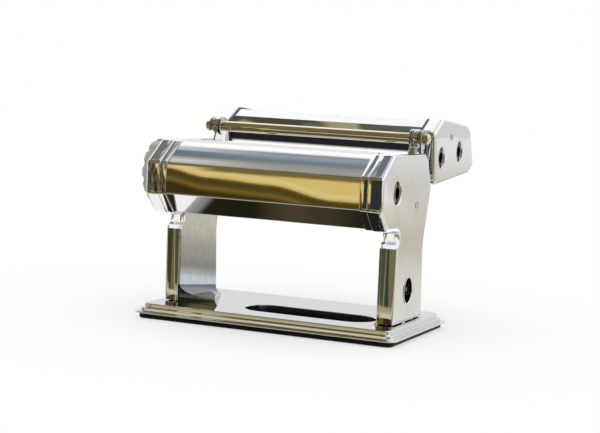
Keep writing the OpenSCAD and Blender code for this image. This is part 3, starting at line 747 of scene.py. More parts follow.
slot_half, slot_throat, slot_drop, lip_rise = 14.0, 9.0, 9.0, 2.4
sheet(
    "front_sheet",
    [
        (nip_y - slot_throat, head_top - slot_drop),
        (nip_y - slot_half, head_top + lip_rise, 2.4),
        *front_bends,
        (roller_y - 4, head_low),
    ],
    sheet_half, "front_cover", "machine_body", (roller_y, roller_z), sunk=1.2,
)
sheet(
    "rear_sheet",
    [
        (rear_y + 11, head_low),
        seat, shoulder, back_edge,
        (nip_y + slot_half, head_top, 1.6),
        (nip_y + slot_throat, head_top - slot_drop),
    ],
    sheet_half, "rear_cover", "machine_body", (rear_y, roller_z),
)

# Base.
lip_w, step_w, lip_t, bead_z = 3.5, 2.5, 1.2, base_low + 3.85
lip_r = 8.0
hole_l, hole_w, hole_x, hole_y = 102.0, 37.0, 21.0, -16.5
pan_wall, sharp_fold, fold_ease = 1.2, math.radians(50), 0.55
tier_apart = 0.001


def round_frame(bm, half_x, half_y, r, z, steps=8):
    """The edges of a rectangle with round corners, centred on the origin at height z."""
    signs = ((-1, -1), (1, -1), (1, 1), (-1, 1))
    face = bm.faces.new([bm.verts.new((sx * half_x, sy * half_y, z)) for sx, sy in signs])
    round_corners(bm, list(face.verts), r, steps)
    level = [f for f in bm.faces if all(abs(v.co.z - z) < 1e-5 for v in f.verts)]
    edges = list({e for f in level for e in f.edges})
    bmesh.ops.delete(bm, geom=level, context="FACES_ONLY")
    return edges


def stack(bm, rings):
    """Joins a stack of matching edge rings with walls."""
    for a, b in zip(rings, rings[1:]):
        bmesh.ops.bridge_loops(bm, edges=a + b)


def base_plate():
    bm = bmesh.new()
    inner = lip_w + step_w
    tiers = [
        (0.0, lip_r, base_low), (0.0, lip_r, base_low + lip_t), (lip_w, lip_r - 2, base_low + lip_t),
        (lip_w, lip_r - 2, bead_z), (inner, lip_r - 3.5, bead_z), (inner, lip_r - 3.5, base_top),
    ]
    rings = [
        round_frame(bm, lip_x - d, lip_y - d, r, z + tier_apart * i) for i, (d, r, z) in enumerate(tiers)
    ]
    stack(bm, rings)
    hole_z = base_top + tier_apart * (len(tiers) - 1)
    hole_size = Matrix.Diagonal((hole_l / 2, hole_w / 2, 1, 1))
    hole = bmesh.ops.create_grid(
        bm, x_segments=1, y_segments=1, size=1,
        matrix=Matrix.Translation((hole_x, hole_y, hole_z)) @ hole_size,
    )["verts"]
    round_corners(bm, hole, hole_w / 2 - 0.01, 14)
    lid = [f for f in bm.faces if abs(f.calc_center_median().z - hole_z) < NEAR]
    mouth = list({e for f in lid for e in f.edges})
    bmesh.ops.delete(bm, geom=lid, context="FACES_ONLY")
    fill(bm, rings[-1] + mouth, (0, 0, 1))
    wall = bmesh.ops.extrude_edge_only(bm, edges=mouth)
    bmesh.ops.translate(bm, verts=new_verts(wall), vec=(0, 0, base_low + 1.0 - base_top))
    outward(bm)
    edges = [e for e in bm.edges if len(e.link_faces) == 2 and e.calc_face_angle() > sharp_fold]
    round_edges(bm, edges, fold_ease, 4)
    return bm


piece(
    "base_pressing", base_plate(), chrome, "machine_body", ["base_plate"], wall=pan_wall,
    inside=(0, 0, 0), edge=0,
)


# Solid across its middle, so the base's opening shows the mat's black top.
def rubber_mat():
    bm = bmesh.new()
    steps = [(0.9, 0.0), (0.25, 0.35), (0.0, 1.2), (0.0, 2.8), (0.25, 3.65), (0.9, base_low)]
    rings = [round_frame(bm, mat_x - d, mat_y - d, 6.0 - d, z) for d, z in steps]
    stack(bm, rings)
    fill(bm, rings[0], (0, 0, -1))
    fill(bm, rings[-1], (0, 0, 1))
    return bm


piece("rubber_mat", rubber_mat(), rubber, "machine_body", ["base_gasket"], edge=0)

# Side frames.
plate_front, plate_back = leg_front + 0.4, leg_back - 1.6
heel_w, heel_h, sole_t = 5.0, 7.0, 0.5
toe_left, toe_right = (29.0, 13.0, 4.5), (1.5, heel_h, sole_t)
toe_slope, lengthwise_from = 0.6, 40.0
under_band = 1.7
plate_seen = 1.3
ear_r = rod_r * 2
block_half_y, block_half_z, travel = 13.0, 12.0, 2.8
window_gap_y, window_gap_z = 0.3, 0.05


def side_frame(name, side, node):
    bm = bmesh.new()
    flare_h = toe_left[1] if side == LEFT else heel_h
    corners = [
        (plate_front, base_top + flare_h, 0.1), (plate_back, base_top + heel_h, 0.1), (leg_back - 6.4, waist_z, 28),
        (head_back - under_band, back_z, 12), (rod_y + ear_r, head_top - 6, 3),
        (rod_y + ear_r, rod_z + ear_r, ear_r - 0.1), (rod_y - ear_r, rod_z + ear_r, ear_r - 0.1),
        (rod_y - ear_r, rod_z - 2, 6), (rod_y - 13, head_top - under_band, 2),
        (bevel_top + 0.7, head_top - under_band, fold_r), (head_front + under_band, face_high - 0.8, fold_r),
        (head_front + under_band, face_low + 0.8, fold_r), (bevel_foot + 0.7, head_low + under_band, fold_r),
        (notch_y + 0.4, head_low + under_band, 6), (notch_y + 0.4, knee_z + 3, 5),
        (leg_front - 1.6, knee_z - 0.2, fold_r),
    ]
    outline(bm, corners, cover_in)
    y0, y1 = rear_y - block_half_y - travel - window_gap_y, rear_y + block_half_y + window_gap_y
    z0, z1 = roller_z - block_half_z - window_gap_z, roller_z + block_half_z + window_gap_z
    window = [(y0, z0), (y1, z0), (y1, z1), (y0, z1)]
    frame_ring = [bm.verts.new((cover_in, y, z)) for y, z in window]
    for a, b in zip(frame_ring, frame_ring[1:] + frame_ring[:1]):
        bm.edges.new((a, b))
    refill(bm, cover_in, [(roller_y, roller_z, bush_hole)])
    piece(name, bm, chrome, "machine_body", [node], plate_seen, body_inside, side=side)


def foot_flare(name, side, finish):
    """The foot of a side frame, swept in towards the base, wider at the front on the left."""
    flare_w, flare_h, step_h = toe_left if side == LEFT else toe_right
    bm = bmesh.new()
    plate_in = cover_in - plate_seen
    ends = ((plate_front, flare_h), (plate_back, heel_h))
    row = [bm.edges.new([bm.verts.new((plate_in, y, base_top + tall)) for y, tall in ends])]
    steps = 14
    turns = [math.pi / 2 * i / steps for i in range(steps + 1)]
    for a, b in zip(turns, turns[1:]):
        ends = new_verts(bmesh.ops.extrude_edge_only(bm, edges=row))
        row = [e for e in bm.edges if all(v in ends for v in e.verts)]
        for v in ends:
            wide, tall = (flare_w, flare_h - step_h) if v.co.y < nip_y else (heel_w, heel_h - sole_t)
            step = (wide * (math.cos(b) - math.cos(a)), 0, -tall * (math.sin(b) - math.sin(a)))
            bmesh.ops.translate(bm, verts=[v], vec=step)
    for v in new_verts(bmesh.ops.extrude_edge_only(bm, edges=row)):
        bmesh.ops.translate(bm, verts=[v], vec=(-toe_slope * (v.co.z - base_top), 0, base_top - v.co.z))
    lengthwise = [e for e in bm.edges if e.calc_length() > lengthwise_from]
    bmesh.ops.subdivide_edges(bm, edges=lengthwise, cuts=9, use_grid_fill=True)
    weld(bm)
    heels = []
    for y in (plate_front, plate_back):
        rim = [e for e in bm.edges if all(abs(v.co.y - y) < 1e-3 for v in e.verts)]
        profile = sorted({v for e in rim for v in e.verts}, key=lambda v: v.co.x)
        heel = bm.verts.new((cover_in, y, base_top))
        rim += [bm.edges.new((heel, profile[-1])), bm.edges.new((heel, profile[0]))]
        fill(bm, rim, (0, 1, 0))
        heels.append(heel)
    bm.edges.new(heels)
    bmesh.ops.holes_fill(bm, edges=[e for e in bm.edges if len(e.link_faces) < 2], sides=0)
    piece(name, bm, finish, "machine_body", edge=0.3, side=side)


foot_flare("foot_flare_right", RIGHT, chrome)
# The left foot wears painted dark reflection; the right foot is plain chrome.
foot_flare("foot_flare_left", LEFT, chrome_painted_dark)
for side, hand in HANDS:
    side_frame("side_frame_" + hand, side, "frame_" + hand)


# Rod, collars, sockets and rivets.
def rod(x0, x1, r, y, z, ease=0.6, steps=48):
    """A turned bar with rounded ends."""
    bend = [(ease * (1 - math.sin(a)), r - ease * (1 - math.cos(a))) for a in (math.pi / 2 * i / 5 for i in range(6))]
    right = [(x1 - d, h) for d, h in bend]
    left = [(x0 + d, h) for d, h in reversed(bend)]
    return turned([(x0, 0), *left, *right, (x1, 0)], y, z, steps)


def ring(x0, x1, r_out, r_in, y, z, ease=0.4, steps=56):
    """A turned ring with eased edges."""
    return turned(
        [(x0, r_in), (x0, r_out - ease), (x0 + ease * 0.3, r_out - ease * 0.3), (x0 + ease, r_out),
         (x1 - ease, r_out), (x1 - ease * 0.3, r_out - ease * 0.3), (x1, r_out - ease), (x1, r_in), (x0, r_in)],
        y, z, steps,
    )


piece(
    "cutter_rod", rod(-rod_end, rod_end, rod_seen, rod_y, rod_z, 2.0, 64), rod_plate, "machine_body",
    ["hanger_rod"], edge=0,
)
collar_out = high("rod_collars").x
collars = []
for side in (RIGHT, LEFT):
    outer = ring(cover_in, collar_out, ear_r, rod_r, rod_y, rod_z, 1.0)
    inner = ring(band_out - 1, band_out, ear_r, rod_r, rod_y, rod_z, 0.35)
    pair = joined(outer, inner)
    collars.append(other_side(pair) if side == LEFT else pair)
piece("rod_end_collars", joined(*collars), chrome_solid, "machine_body", ["rod_collars"], edge=0)

socket_lip = turned(
    [(cover_in, clamp_r - 1), (cover_in, clamp_r), (cover_out - 0.2, clamp_r), (cover_out, clamp_r + 0.7),
     (cover_out + 0.35, clamp_r + 0.75), (cover_out + 0.5, clamp_r + 0.2), (cover_out + 0.35, clamp_r - 0.6),
     (cover_out - 0.4, clamp_r - 1), (cover_in, clamp_r - 1)],
    clamp_y, clamp_z, 72,
)
piece("clamp_socket_lip", socket_lip, chrome_solid, "machine_body", ["clamp_socket"], edge=0, crease=60)


def hole_lip(bore, inner, y, z):
    """The rolled edge of a crank hole, drawn in towards the shaft."""
    x = cover_out
    return turned(
        [(x - 3, inner), (x - 1.6, inner + 0.1), (x - 0.6, inner + 0.4), (x, bore - 0.3), (x + 0.14, bore + 0.3),
         (x + 0.02, bore + 0.7), (x - 1.2, bore), (x - 3, inner + 0.6), (x - 3, inner)],
        y, z, 72,
    )


shaft_r, hub_r = 7.5, 7.0
lip_gap = 0.4
crank_lip = hole_lip(crank_hole, shaft_r + lip_gap, roller_y, roller_z)
piece("crank_hole_lip", crank_lip, chrome_solid, "machine_body", edge=0)


def rivet(x, y, z, r, tilt):
    """A domed rivet with a driver slot."""
    dome = turned(
        [(x - 2.5, 0), (x - 2.5, 1.5), (x - 0.1, 1.5), (x, r), (x + 0.25, r), (x + 0.55, r * 0.86),
         (x + 0.75, r * 0.6), (x + 0.8, 0)],
        y, z, 40,
    )
    outward(dome)
    cut = block((x + 0.35, y - 0.4, z - r - 1), (x + 2, y + 0.4, z + r + 1))
    bmesh.ops.rotate(
        cut, verts=cut.verts[:], cent=(x, y, z), matrix=Matrix.Rotation(math.radians(tilt), 3, "X")
    )
    return carve(dome, [cut])


piece(
    "cover_screws",
    joined(rivet(cover_out, *rivet_right, 3.2, 25), other_side(rivet(cover_out, *rivet_left, 3.2, -40))),
    steel, "machine_body", ["cover_rivets"], edge=0.08,
)
head_rivet = (wide_y + 23.5, wide_z + 15.6)
piece(
    "cutter_screws",
    joined(rivet(cover_out, *head_rivet, 2.8, 60), other_side(rivet(cover_out, *head_rivet, 2.8, 15))),
    steel, "cutter_head", ["cutter_rivets"], edge=0.08,
)


# Regulator.
piece(
    "dial_disc", ring(dial_face, -cover_out, dial_r, dial_hole, dial_y, roller_z, 0.4, 96),
    dial_metal, "machine_body", ["dial_plate"], edge=0,
)
grip_n, grip_depth, grip_from = 12, 2.4, 11.4
number_n, number_size, number_rise, dial_sweep = 9, 4.6, 0.15, 240
skirt_r = knob_r - 4.5
length = knob_in - knob_out - 1.2


def knob():
    """The regulator knob: a skirt, a shoulder and a grip with scooped flutes."""
    x = knob_out + length
    profile = [
        (x, 6.4), (x, skirt_r - 0.8), (x - 0.2, skirt_r - 0.2), (x - 0.8, skirt_r), (x - 8, skirt_r),
        (x - 9.6, skirt_r + 0.4), (x - 10.8, skirt_r + 1.6), (x - 11.6, knob_r - 1.4), (x - 12.2, knob_r - 0.4),
        (x - 13, knob_r), (x - 15, knob_r), (x - 17, knob_r), (x - 19, knob_r), (x - 21, knob_r),
        (x - length + 2, knob_r), (x - length + 0.8, knob_r - 0.4), (x - length + 0.2, knob_r - 1.2),
        (x - length, knob_r - 2.4), (x - length, knob_r * 0.62), (x - length + 0.8, knob_r * 0.56),
        (x - length + 0.8, 0),
    ]
    bm = turned(profile, dial_y, roller_z, 144)
    for v in bm.verts:
        out = Vector((v.co.y - dial_y, v.co.z - roller_z))
        if out.length < knob_r - 2.5 or v.co.x > x - grip_from:
            continue
        lobe = math.cos(math.atan2(out.y, out.x) * grip_n)
        scoop = max(0.0, -lobe - 0.1) ** 0.7 * grip_depth
        fade = min(1.0, (x - grip_from - v.co.x) / 1.5)
        out *= 1 - scoop * fade / out.length
        v.co.y, v.co.z = dial_y + out.x, roller_z + out.y
    return bm


piece("regulator_grip", knob(), knob_grey, "knob", ["regulator_knob"], edge=0, crease=50)
cap_r = half_height("knob_cap")
cap_x = low("knob_cap").x
cap = turned(
    [(cap_x + 1.2, cap_r * 0.98), (cap_x + 0.5, cap_r), (cap_x + 0.15, cap_r - 0.3), (cap_x, cap_r - 0.9),
     (cap_x, cap_r * 0.72), (cap_x + 0.25, cap_r * 0.66), (cap_x + 0.3, 0)],
    dial_y, roller_z, 72,
)
piece(
    "regulator_cap", cap, dial_metal, "knob", ["knob_cap"], wall=0.3,
    inside=(cap_x + 4, dial_y, roller_z), edge=0,
)


def dial_numbers():
    """Plain numbers for the gap settings, round the knob's skirt face."""
    parts = []
    for i in range(number_n):
        curve = bpy.data.curves.new("work", "FONT")
        curve.body, curve.size, curve.extrude = str(i + 1), number_size, number_rise
        curve.align_x, curve.align_y = "CENTER", "CENTER"
        text = put("work", curve)
        bpy.context.view_layer.update()
        depsgraph = bpy.context.evaluated_depsgraph_get()
        shape = bpy.data.meshes.new_from_object(text.evaluated_get(depsgraph))
        bm = bmesh.new()
        bm.from_mesh(shape)
        bpy.data.objects.remove(text)
        bpy.data.curves.remove(curve)
        bpy.data.meshes.remove(shape)
        weld(bm)
        angle = math.radians(dial_sweep / 2 - dial_sweep * i / (number_n - 1))
        place = (
            Matrix.Translation((knob_out, dial_y, roller_z)) @ Matrix.Rotation(-math.pi / 2, 4, "Z")
            @ Matrix.Rotation(math.pi / 2, 4, "X") @ Matrix.Rotation(angle, 4, "Z")
            @ Matrix.Translation((0, knob_r * 0.78, 0))
        )
        bmesh.ops.transform(bm, matrix=place, verts=bm.verts[:])
        parts.append(bm)
    return joined(*parts)


piece("gap_numbers", dial_numbers(), paint_dark, "knob", edge=0)

# Cutter head.
crank_bore = 8.4
wide_mid, narrow_mid = wide_y + pair_c / 2, narrow_y + pair_c / 2


def cutter_cover(name, side, node, holes):
    bm = pan(cutter_corners, holes)
    inside = (0, wide_mid, wide_z)
    piece(name, bm, chrome, "cutter_head", [node], sheet_t, inside, edge=0.2, side=side)


cutter_cover(
    "cutter_side_right", RIGHT, "cutter_cover_right",
    [(wide_y, wide_z, crank_bore), (narrow_y, narrow_z, crank_bore), (*head_rivet, rivet_hole)],
)
cutter_cover("cutter_side_left", LEFT, "cutter_cover_left", [(*head_rivet, rivet_hole)])

cranked = ((wide_y, wide_z), (narrow_y, narrow_z))
cutter_lips = joined(*(hole_lip(crank_bore, hub_r + lip_gap, *at) for at in cranked))
piece("cutter_hole_lips", cutter_lips, chrome_solid, "cutter_head", edge=0)
feed_half, throat, lip_z = 8.2, 3.3, 13.0


def on_line(a, b, y):
    """The point at Y = y on the line through two corners."""
    return (y, a[1] + (b[1] - a[1]) * (y - a[0]) / (b[0] - a[0]))


peak, brow = cutter_corners[5], cutter_corners[6]
back_top = cutter_corners[4]
sole_front, sole_back = cutter_corners[0], cutter_corners[1]
nose_fold = (wide_y - 17, wide_z + 14.5)
hem_share = 0.08
hem = tuple(a + (b - a) * hem_share for a, b in zip(nose_fold, sole_front))
sheet(
    "cutter_nose_sheet",
    [
        (wide_mid - throat, wide_z + lip_z),
        (*on_line(peak, brow, wide_mid - feed_half), 1.4),
        (*on_line(peak, brow, wide_y - 9.9), 2.4),
        (*nose_fold, 2.4),
        hem,
    ],
    band_out, "cutter_front_sheet", "cutter_head", (wide_y, wide_z),
)
under = folded([hem, sole_front, on_line(sole_front, sole_back, wide_mid - feed_half)], -band_out, band_out)
face_out(under, (0, wide_y, wide_z))
shrink(under, skin_in)
piece(
    "cutter_under_sheet", under, shaded_under_steel, "cutter_head", wall=sheet_t,
    inside=(0, wide_y, wide_z), edge=0.3,
)
sheet(
    "cutter_top_sheet",
    [
        (narrow_mid - throat, narrow_z + lip_z),
        (*on_line(peak, back_top, narrow_mid - feed_half), 1.4),
        (*on_line(peak, back_top, wide_mid + feed_half), 1.4),
        (wide_mid + throat, wide_z + lip_z),
    ],
    band_out, "cutter_mid_sheet", "cutter_head", (wide_mid + pair_c, wide_z),
)
sheet(
    "cutter_tail_sheet",
    [
        on_line(sole_front, sole_back, narrow_mid + feed_half),
        sole_back, cutter_corners[2], cutter_corners[3], back_top,
        (*on_line(peak, back_top, narrow_mid + feed_half), 1.4),
        (narrow_mid + throat, narrow_z + lip_z),
    ],
    band_out, "cutter_rear_sheet", "cutter_head", (last_y, narrow_z),
)

hook_x0, hook_x1 = high("cutter_hooks").x - 2.5, high("cutter_hooks").x
hook_y, hook_z, hook_r = wide_y - 6.5, wide_z + 16, 5.5
jaw, hook_wall = rod_seen + 0.3, 2.2
hook_corners = [
    (rod_y - jaw - hook_wall, rod_z - 4, 1), (rod_y - jaw, rod_z - 4, 1), (rod_y - jaw, rod_z + jaw, jaw - 0.05),
    (rod_y + jaw, rod_z + jaw, jaw - 0.05), (rod_y + jaw, rod_z - 4, 1), (rod_y + jaw + hook_wall, rod_z - 4, 1),
    (rod_y + jaw + hook_wall + 1, rod_z - 1, 2), (hook_y + hook_r, hook_z - hook_r, 5),
    (hook_y + hook_r, hook_z + hook_r - 1, 4.5),
    (rod_y - jaw - hook_wall, rod_z + jaw + hook_wall, jaw + hook_wall - 0.3),
]
hooks = []
for side in (RIGHT, LEFT):
    bm = slab(hook_corners, hook_x0, hook_x1)
    bm = joined(bm, rod(cover_in, hook_x0, 4, hook_y, hook_z, 0.4, 32))
    hooks.append(other_side(bm) if side == LEFT else bm)
piece("rod_hooks", joined(*hooks), hook_metal, "cutter_head", ["cutter_hooks"], edge=0.3)


# Stage.
def stage_plane(name, size, matrix, finish):
    bm = bmesh.new()
    bmesh.ops.create_grid(bm, x_segments=1, y_segments=1, size=0.5, matrix=matrix @ Matrix.Diagonal((*size, 1, 1)))
    mesh = mesh_of(bm, name)
    mesh.materials.append(finish)
    obj = put(name, mesh)
    return obj


def floor_finish():
    """Plain pale floor, with a faint warm cloudiness."""
    mat, tree, shader = new_finish("pale_floor", Roughness=0.9, Metallic=0.0)
    shader.inputs["Specular IOR Level"].default_value = 0.0
    cloud = mask_of(tree, smudges, Scale=1.2)
    tone = blend_colour(times(cloud, 0.3), (0.95, 0.95, 0.95), (0.94, 0.94, 0.93))
    link(tone, shader.inputs["Base Color"])
    path = add(tree, "LightPath")
    seen = math_node(tree, "MAXIMUM", path.outputs["Is Camera Ray"], path.outputs["Is Glossy Ray"])
    glow = add(tree, "Emission", Color=(1.0, 0.998, 0.985, 1), Strength=1.0)
    both = add(tree, "MixShader")
    link(times(seen, 0.5), both.inputs["Fac"])
    link(shader.outputs["BSDF"], both.inputs[1])
    link(glow.outputs["Emission"], both.inputs[2])
    link(both.outputs["Shader"], tree.nodes["Material Output"].inputs["Surface"])
    return mat


def dot_with(source, axis):
    dot = add(source.id_data, "VectorMath", {"operation": "DOT_PRODUCT"})
    dot.inputs[1].default_value = axis
    link(source, dot.inputs[0])
    return dot.outputs["Value"]


def along(tree, axis):
    """How far a point lies along an axis, in metres."""
    return dot_with(place_of(tree), axis)


def between(value, first, last):
    """1 between two soft edges, each given as (start, end), and 0 outside."""
    return times(ramp(value, *first), ramp(value, *last, 1.0, 0.0))


def bands(value, stops):
    """Soft bands of tone: stops are (place, colour)."""
    first, last = stops[0][0], stops[-1][0]
    span = add(value.id_data, "MapRange")
    span.inputs["From Min"].default_value, span.inputs["From Max"].default_value = first, last
    link(value, span.inputs["Value"])
    node = add(value.id_data, "ValToRGB")
    node.color_ramp.interpolation = "EASE"
    points = node.color_ramp.elements
    while len(points) < len(stops):
        points.new(0.5)
    for i, (at, tone) in enumerate(stops):
        points[i].position = (at - first) / (last - first)
        points[i].color = (*tone, 1)
    link(span.outputs["Result"], node.inputs["Fac"])
    return node.outputs["Color"]


def card(name, size, at, paint, upright=False):
    """A glowing card that only the polished metal sees: its tones are painted reflections."""
    mat = bpy.data.materials.new(name + "_tone")
    mat.use_nodes = True
    tree = mat.node_tree
    tree.nodes.clear()
    out = add(tree, "OutputMaterial")
    glow = add(tree, "Emission")
    link(paint(tree), glow.inputs["Color"])
    link(glow.outputs["Emission"], out.inputs["Surface"])
    tilt = Matrix.Rotation(math.pi / 2 if upright else 0.0, 4, "X")
    obj = stage_plane(name, size, Matrix.Translation(at) @ tilt, mat)
    obj.visible_camera = obj.visible_diffuse = obj.visible_shadow = obj.visible_transmission = False


stage_plane("floor", (12, 12), Matrix.Translation((0, 0, -0.0002)), floor_finish())

gold, bright_gold = (0.95, 0.72, 0.23), (1.06, 0.82, 0.33)
# The near black card tone paints dark reflection.
umber, dark_reflection_tone, teal = (0.06, 0.038, 0.01), (0.03, 0.022, 0.012), (0.03, 0.042, 0.044)
glare = (1.3, 1.3, 1.28)


def front_tones(tree):
    """Gold above a slanting edge, umber under it, teal with a glare past the ends, mottled on the left."""
    side, up = along(tree, (1, 0, 0)), along(tree, (0, 0, 1))
    within = between(side, (-0.305, -0.299), (-0.083, -0.079))
    edge_heights = ((-0.3, 0.086), (-0.25, 0.0785), (-0.18, 0.076), (-0.11, 0.0645))
    edge = bands(side, [(at, (height,) * 3) for at, height in edge_heights])
    warm = bands(math_node(tree, "SUBTRACT", up, edge), [
        (-0.03, umber), (-0.0155, umber), (-0.0097, (0.25, 0.155, 0.03)), (-0.006, (0.13, 0.09, 0.02)),
        (-0.0025, (0.1, 0.062, 0.012)), (0.0, (0.14, 0.09, 0.02)), (0.003, gold), (0.0055, bright_gold), (0.011, gold),
        (0.03, gold),
    ])
    crest = times(ramp(up, 0.0855, 0.0885), ramp(side, -0.275, -0.235))
    warm = blend_colour(crest, warm, (0.25, 0.175, 0.045))
    knee = [(0.0, teal), (0.012, teal), (0.017, glare), (0.046, glare), (0.052, teal)]
    cold = bands(up, [*knee, (0.085, (0.04, 0.046, 0.04)), (0.1, umber), (0.2, teal)])
    specks = noise(place_of(tree), 90.0, Detail=3.0, Roughness=0.6, Distortion=0.6)
    mottled = blend_colour(ramp(specks, 0.42, 0.66), (0.045, 0.042, 0.018), (0.3, 0.28, 0.19))
    on_left = times(ramp(side, -0.31, -0.3, 1.0, 0.0), ramp(up, 0.05, 0.056))
    cold = blend_colour(on_left, cold, mottled)
    return blend_colour(within, cold, warm)


def front_mat_tones(tree):
    """Dark towards the room and warm near the base, with stripes where the legs' flanges look."""
    front = along(tree, (0, 1, 0))
    depth = bands(front, [
        (-1.6, (0.03, 0.028, 0.02)), (-0.6, (0.08, 0.085, 0.075)), (-0.25, (0.1, 0.105, 0.09)),
        (-0.2, (0.14, 0.13, 0.1)), (-0.172, (0.3, 0.26, 0.13)), (-0.15, (0.9, 0.85, 0.66)),
        (-0.132, (0.5, 0.45, 0.23)), (-0.112, (0.85, 0.79, 0.56)), (-0.09, (0.32, 0.28, 0.12)),
        (-0.065, (0.22, 0.19, 0.08)),
    ])
    spread = math_node(tree, "SUBTRACT", 0.9661, times(front, 0.997))
    aside = math_node(tree, "SUBTRACT", along(tree, (1, -0.4257, 0)), 0.0145)
    on_leg = math_node(tree, "DIVIDE", aside, spread)
    stripes = bands(on_leg, [
        (-0.092, (0.07, 0.066, 0.03)), (-0.0907, (0.045, 0.042, 0.018)), (-0.0885, (0.13, 0.118, 0.03)),
        (-0.0865, (0.26, 0.23, 0.06)), (-0.0845, (0.2, 0.175, 0.045)), (-0.0828, (0.08, 0.075, 0.025)),
        (-0.0812, (0.62, 0.56, 0.34)), (-0.079, (0.1, 0.1, 0.06)), (0.079, (0.1, 0.1, 0.06)),
        (0.0812, (0.34, 0.31, 0.16)), (0.0835, (0.07, 0.075, 0.06)), (0.087, (0.05, 0.065, 0.065)),
        (0.0892, (0.05, 0.06, 0.05)), (0.0905, (0.24, 0.21, 0.1)),
    ])
    far = ramp(front, -0.15, -0.132, 1.0, 0.0)
    apart = math_node(tree, "ABSOLUTE", plus(on_leg, 0.0857), 0.0)
    near_leg = ramp(apart, 0.006, 0.0075, 1.0, 0.0)
    on_flange = times(near_leg, ramp(front, -0.125, -0.115, 1.0, 0.0))
    return blend_colour(math_node(tree, "MAXIMUM", far, on_flange), depth, stripes)


def rear_mat_tones(tree):
    """White near the base and far away, beige between; darker where the left leg looks."""
    back = along(tree, (0, 1, 0))
    open_side = bands(back, [
        (0.07, (0.95, 0.93, 0.9)), (0.22, (0.93, 0.9, 0.82)), (0.69, (0.73, 0.68, 0.58)), (1.09, (0.88, 0.83, 0.72)),
        (1.4, (1.08, 1.07, 1.13)), (4.0, (1.1, 1.1, 1.13)),
    ])
    leg_side = bands(back, [
        (0.07, (0.7, 0.8, 0.85)), (0.176, (0.79, 0.86, 0.91)), (0.215, (0.55, 0.57, 0.54)),
        (0.26, (0.375, 0.355, 0.33)), (0.37, (0.48, 0.46, 0.4)), (0.63, (0.73, 0.71, 0.6)),
        (1.3, (0.8, 0.78, 0.7)), (4.0, (1.0, 1.0, 1.0)),
    ])
    return blend_colour(ramp(along(tree, (1, -0.413, 0)), -0.03, 0.05), leg_side, open_side)


def upper_tones(tree):
    """Dark, pale, slate and white bands over the front bevel, slate past both ends."""
    slate, pale, mist, white = (0.2, 0.24, 0.27), (0.9, 0.91, 0.82), (0.74, 0.8, 0.86), (1.5, 1.5, 1.5)
    side, back = along(tree, (1, 0, 0)), along(tree, (0, 1, 0))
    left = bands(back, [
        (0.058, (0.3, 0.28, 0.2)), (0.066, pale), (0.0685, (0.56, 0.56, 0.5)), (0.0715, slate),
        (0.0765, slate), (0.0795, mist), (0.082, mist), (0.0845, white),
    ])
    right = bands(back, [
        (0.058, (0.3, 0.28, 0.2)), (0.0635, (0.53, 0.5, 0.4)), (0.0675, (0.42, 0.43, 0.42)),
        (0.0725, (0.24, 0.29, 0.32)), (0.079, (0.42, 0.48, 0.54)), (0.082, (0.33, 0.36, 0.39)), (0.084, white),
    ])
    tones = blend_colour(ramp(side, -0.33, -0.2), left, right)
    within = between(side, (-0.338, -0.33), (-0.096, -0.088))
    past = blend_colour(ramp(side, -0.25, -0.2), (0.24, 0.245, 0.2), slate)
    tones = blend_colour(within, past, tones)
    return blend_colour(ramp(back, 0.04, 0.052), dark_reflection_tone, tones)


def under_tones(tree):
    """Under the head: a white corner on the left, browns beyond it and a dark strip across the end."""
    side = along(tree, (1, 0, 0))
    brown = bands(side, [
        (-0.06, (0.022, 0.021, 0.014)), (-0.02, (0.02, 0.016, 0.008)), (0.015, (0.085, 0.07, 0.036)),
        (0.04, (0.065, 0.054, 0.028)), (0.075, (0.022, 0.02, 0.014)),
    ])
    corner = bands(along(tree, (1, 0.877, 0)), [
        (-0.1215, (1, 1, 1)), (-0.1185, (0.35, 0.35, 0.35)), (-0.1125, (0.25, 0.25, 0.25)), (-0.104, (0, 0, 0)),
    ])
    tones = blend_colour(corner, brown, glare)
    end = along(tree, (1, -0.23, 0))
    strip = between(end, (-0.0725, -0.0705), (-0.0645, -0.0625))
    return blend_colour(strip, tones, dark_reflection_tone)


def plain(tone):
    """One tone all over a card."""
    def paint(tree):
        node = add(tree, "RGB")
        node.outputs[0].default_value = (*tone, 1)
        return node.outputs[0]
    return paint


# Painted reflections: front, floor and sky cards for broad tones; small cards under the head, at the knees and along
# the top for painted highlights and dark strips.
card("front_card", (1.6, 0.2), (-0.2, -0.5, 0.1), front_tones, upright=True)
card("front_mat", (3.0, 1.5), (0, -0.815, 0.0003), front_mat_tones)
card("rear_mat", (4.0, 3.9), (0, 2.02, 0.0003), rear_mat_tones)
card("upper_card", (0.5, 0.15), (-0.25, 0.125, 0.6), upper_tones)
card("under_card", (0.182, 0.026), (-0.009, -0.062, 0.072), under_tones)
for side, hand in ((LEFT, "left"), (RIGHT, "right")):
    card("knee_card_" + hand, (0.03, 0.013), (side * 0.088, -0.047, 0.0725), plain(glare), upright=True)
    card("knee_roof_" + hand, (0.03, 0.016), (side * 0.088, -0.039, 0.0785), plain(glare))
card("top_card", (0.158, 0.0135), (0, 0.0385, 0.1335), plain(glare), upright=True)

scene = bpy.context.scene
world = bpy.data.worlds.new("studio")
scene.world = world
world.use_nodes = True
sky = world.node_tree
sky.nodes.clear()
sky_out = add(sky, "OutputWorld")
look = add(sky, "TexCoord").outputs["Generated"]


def towards(direction):
    """How nearly a ray of the sky points in a direction."""
    return dot_with(look, Vector(direction).normalized())


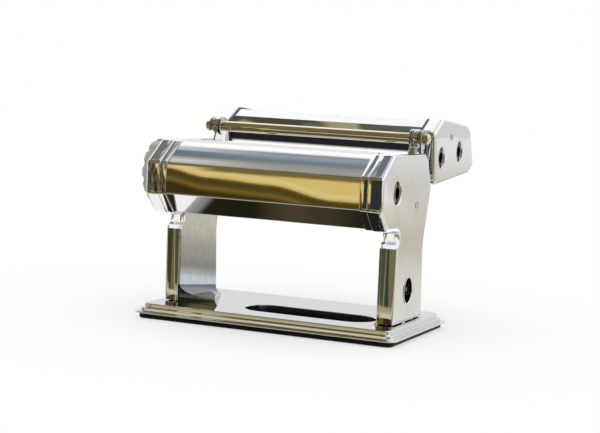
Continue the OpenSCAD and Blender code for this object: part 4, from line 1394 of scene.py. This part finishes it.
height = towards((0, 0, 1))
white, grey = (1, 1, 1), (0.85, 0.85, 0.86)
back_tone = bands(height, [
    (-1.0, grey), (0.12, grey), (0.3, white), (0.5, (1.45, 1.45, 1.48)), (0.8, (1.45, 1.45, 1.48)),
    (0.93, (0.8, 0.83, 0.88)), (1.0, (0.75, 0.78, 0.84)),
])
front_tone = bands(height, [
    (-0.2, (0.05, 0.045, 0.03)), (0.1, (0.07, 0.065, 0.04)), (0.35, (0.24, 0.23, 0.14)), (0.7, (0.2, 0.19, 0.12)),
    (0.82, (0.075, 0.07, 0.04)), (0.9, (0.1, 0.095, 0.055)), (1.0, (0.4, 0.4, 0.37)),
])
clutter = noise(look, 26.0, Detail=2.0, Roughness=0.5)
patches = times(ramp(clutter, 0.5, 0.57), ramp(height, 0.74, 0.8))
front_tone = blend_colour(times(patches, 0.75), front_tone, (0.6, 0.54, 0.36))
in_front = ramp(towards((-0.35, -0.8, 0.49)), 0.42, 0.58)
room_tone = blend_colour(in_front, back_tone, front_tone)
path = add(sky, "LightPath")
shown = blend_colour(path.outputs["Is Glossy Ray"], white, room_tone)
backdrop = add(sky, "Background")
link(shown, backdrop.inputs["Color"])
level = math_node(sky, "MULTIPLY_ADD", path.outputs["Is Diffuse Ray"], 0.08)
level.node.inputs[2].default_value = 1.0
link(level, backdrop.inputs["Strength"])
link(backdrop.outputs["Background"], sky_out.inputs["Surface"])

# Camera.
cam_at = Vector((0.42699, -1.03672, 0.17234))
yaw, pitch, roll = math.radians(22.30), math.radians(-4.71), math.radians(3.21)
ahead = Vector((-math.sin(yaw) * math.cos(pitch), math.cos(yaw) * math.cos(pitch), math.sin(pitch)))
across = Vector((math.cos(yaw), math.sin(yaw), 0))
upward = across.cross(ahead)
cam_x = across * math.cos(roll) + upward * math.sin(roll)
cam_y = upward * math.cos(roll) - across * math.sin(roll)
camera_data = bpy.data.cameras.new("camera")
camera_data.sensor_fit = "HORIZONTAL"
focal_px, photo_w, sensor_w = 1504.9, 600, 36.0
camera_data.sensor_width = sensor_w
camera_data.lens = focal_px / photo_w * sensor_w
camera_data.clip_start, camera_data.clip_end = 0.01, 100
camera = put("camera", camera_data)
camera.matrix_world = Matrix((
    (cam_x.x, cam_y.x, -ahead.x, cam_at.x),
    (cam_x.y, cam_y.y, -ahead.y, cam_at.y),
    (cam_x.z, cam_y.z, -ahead.z, cam_at.z),
    (0, 0, 0, 1),
))
scene.camera = camera
scene.view_settings.view_transform = "Standard"
